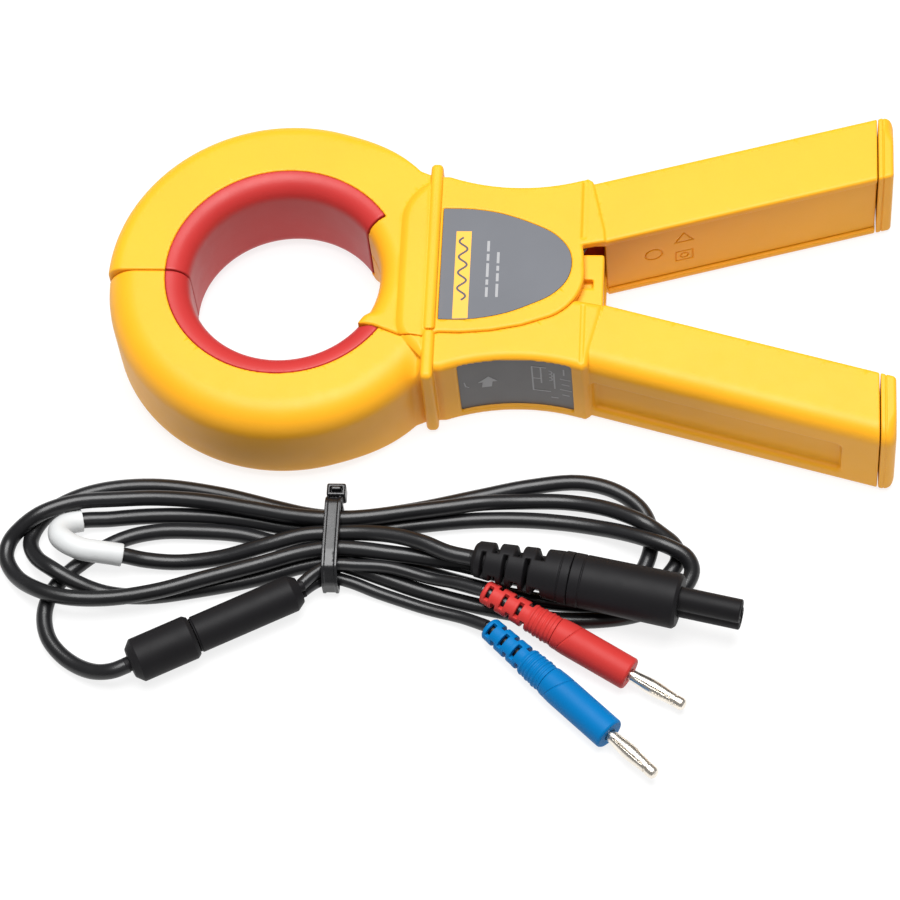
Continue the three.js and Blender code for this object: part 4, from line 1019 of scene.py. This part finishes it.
def make_screw():
    f = Field((PIVOT_X - 5.2, -5.2, -0.2), (PIVOT_X + 5.2, 5.2, 3.2), SMALL)
    about = dist(f.x - PIVOT_X, f.y)
    head = cut(about - 4.4, slab(f.z, 0.5, 2.5), 0.35)
    slot = cut(slab(f.x, PIVOT_X - 3.4, PIVOT_X + 3.4), slab(f.y, -0.6, 0.6), 0.1)
    head = carve(head, both(slot, f.z - 1.5), 0.12)
    head = carve(head, both(np.abs(about - 3.7) - 0.12, f.z - 0.68))
    shaft = both(about - 2.5, slab(f.z, 2.2, 3.1))
    piece = f.mesh("pivot_screw_head", either(head, shaft))
    dress(piece, UPPER, "hinge_steel", STEEL, "pivot_screw")


def faceted(name, points, faces):
    mesh = bpy.data.meshes.new(name)
    mesh.from_pydata([tuple(v) for v in metres(points)], [], faces)
    mesh.update()
    return link(name, mesh)


def solid_from(name, outlines, place, low, high):
    """Thin closed pieces between two heights over flat outlines, joined in one mesh."""
    points, faces = [], []
    for outline in outlines:
        following = outline[1:] + outline[:1]
        area = sum(ax * by - bx * ay for (ax, ay), (bx, by) in zip(outline, following))
        loop = outline if area > 0 else outline[::-1]
        first, n = len(points), len(loop)
        points += [place(a, b, low) for a, b in loop] + [place(a, b, high) for a, b in loop]
        faces.append([first + n + i for i in range(n)])
        faces.append([first + i for i in reversed(range(n))])
        for i in range(n):
            j = (i + 1) % n
            faces.append([first + i, first + j, first + n + j, first + n + i])
    return faceted(name, points, faces)


def stroke(points, width):
    """A line drawn as an outline of the given width."""
    left, right = offset_path(points, width / 2), offset_path(points, -width / 2)
    return right + left[::-1]


def flat_place(a, b, height):
    return (a, b, height)


LABEL_TOP = T - 0.2


def make_front_label():
    def layer(part, outlines, low, high, material, *nodes):
        piece = solid_from(f"front_label_{part}", outlines, flat_place, low, high)
        dress(piece, UPPER, "label_grey", material, *nodes)

    ink = LABEL_TOP + 0.03
    layer("film", [label_outline(0.0)], T - 0.7, LABEL_TOP, LABEL, "front_label")
    band = [(47.2, -15.1), (51.4, -15.0), (51.4, 12.9), (47.2, 12.9)]
    layer("band", [band], LABEL_TOP, ink, PRINT_YELLOW)
    wave = [(49.3 + 1.15 * math.sin(t * 1.25), -9.2 + t) for t in np.linspace(0, 20.1, 90)]
    layer("wave", [stroke(wave, 0.6)], ink, LABEL_TOP + 0.05, PRINT_DARK)
    dashes = []
    for x, lengths in ((56.2, (3.1, 1.7, 4.4, 2.2, 3.4)), (59.0, (4.2, 2.6, 1.6, 3.6))):
        y = -8.2
        for length in lengths:
            dashes.append(stroke([(x, y), (x, y + length)], 0.75))
            y += length + 0.8
    layer("dashes", dashes, LABEL_TOP, ink, PRINT_LIGHT)


def label_outline(grow):
    knots = [(x, y, 0.0) for x, y in FRONT_LABEL]
    path = [(float(x), float(y)) for x, y, _ in smooth_path(knots, 6, 0.0)]
    if grow:
        path = offset_path(path, -grow)
        path[0], path[-1] = (path[0][0] - grow, path[0][1]), (path[-1][0] - grow, path[-1][1])
    return path


def make_side_label():
    radius = WAIST_RADIUS + 0.8

    def place(along, height, raised):
        angle = math.radians(SIDE_LABEL_FIRST) - along / radius
        r = radius - raised
        return (WAIST_ARC[0] + r * math.cos(angle), -WAIST_ARC[1] + r * math.sin(angle), height)

    span = math.radians(SIDE_LABEL_FIRST - SIDE_LABEL_LAST) * radius
    n = 25
    edge = [span * i / (n - 1) for i in range(n)]
    points, faces = [], []
    for raised in (-0.35, 0.0):
        for row in (2.6, 26.8):
            points += [place(a, row, raised) for a in edge]
    for i in range(n - 1):
        a, b, c, d = i, n + i, 2 * n + i, 3 * n + i
        faces += [[c, c + 1, d + 1, d], [a + 1, a, b, b + 1], [a, a + 1, c + 1, c], [b + 1, b, d, d + 1]]
    faces += [[0, 2 * n, 3 * n, n], [n - 1, 2 * n - 1, 4 * n - 1, 3 * n - 1]]
    film = faceted("side_label_film", points, faces)
    dress(film, LOWER, "label_dark", SIDE_LABEL, "side_label")

    x, y = 9.0, 15.0
    arrow = [(-2.7, 0.2), (0.0, 3.0), (2.7, 0.2), (1.35, 0.2), (1.35, -2.4), (-1.35, -2.4), (-1.35, 0.2)]
    shapes = [[(x + a + b * 0.12, y + b) for a, b in arrow]]
    shapes.append(stroke([(2.6, 16.6), (2.9, 14.4), (3.8, 13.6)], 0.35))
    lines = [
        [(21.4, 10.6), (21.4, 23.0)], [(21.2, 23.0), (25.4, 23.0)], [(21.4, 17.0), (23.8, 17.0)],
        [(23.8, 23.0), (23.8, 14.6)], [(21.2, 10.6), (26.2, 10.6)], [(27.4, 20.6), (27.4, 12.4)],
        [(30.2, 23.6), (30.2, 20.4)], [(29.0, 18.2), (32.0, 18.2)], [(29.4, 15.4), (31.6, 15.4)],
        [(28.8, 12.6), (32.2, 12.6)], [(29.4, 9.8), (31.4, 9.8)], [(26.2, 7.6), (28.2, 7.6)],
    ]
    shapes += [stroke(line, 0.4) for line in lines]
    for k in range(3):
        turns = np.linspace(0, math.pi, 9)
        bow = [(26.0 + 0.9 * math.sin(t), 21.6 - 1.7 * k - 0.85 * (1 - math.cos(t))) for t in turns]
        shapes.append(stroke(bow, 0.35))
    shapes = [[(a - 1.1, b) for a, b in shape] for shape in shapes]
    prints = solid_from("side_label_print", shapes, place, 0.0, 0.05)
    dress(prints, LOWER, "label_dark", PRINT_LIGHT)


def dress_cad():
    """Materials for the CAD solids that stay."""
    finish = {
        "core": CORE, "winding": COPPER, "burden": BOARD, "pivot": STEEL, "spring": STEEL, "bush": BRASS,
        "insert": BRASS, "washer": STEEL, "pin": NICKEL, "contact": NICKEL,
    }
    for node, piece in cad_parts.items():
        for word, material in finish.items():
            if word in node:
                piece.data.materials.clear()
                piece.data.materials.append(material)


# ---- Stage -----------------------------------------------------------------------------------------


def make_stage():
    bpy.ops.mesh.primitive_plane_add(size=6.0, location=(0, 0, -0.0005))
    floor = bpy.context.object
    floor.name = "floor"
    n = Nodes("floor_paper")
    n.shade(
        Base_Color=n.ramp(n.noise(3.0), [(0.3, (0.19, 0.19, 0.19)), (0.7, (0.21, 0.21, 0.21))]),
        Roughness=0.9,
        Specular_IOR_Level=0.1,
        Emission_Color=(1, 1, 1, 1),
        Emission_Strength=0.82,
    )
    floor.data.materials.append(n.material)
    world = bpy.data.worlds.new("studio")
    bpy.context.scene.world = world
    world.use_nodes = True
    background = world.node_tree.nodes["Background"].inputs
    background["Color"].default_value = (1, 1, 1, 1)
    background["Strength"].default_value = 0.25
    lamp = link("key", bpy.data.lights.new("key", "AREA"))
    lamp.location = (0.02, 0.14, 1.35)
    lamp.rotation_mode = "QUATERNION"
    lamp.rotation_quaternion = (Vector((0, -0.03, 0)) - lamp.location).to_track_quat("-Z", "Y")
    lamp.data.shape, lamp.data.size, lamp.data.energy = "SQUARE", 1.0, 32.5


make_camera()
make_lead()
make_upper_half()
make_lower_half()
make_liners()
make_handle_ends()
make_barrier()
make_screw()
make_front_label()
make_side_label()
dress_cad()
make_stage()
bpy.context.scene.view_settings.view_transform = "Standard"
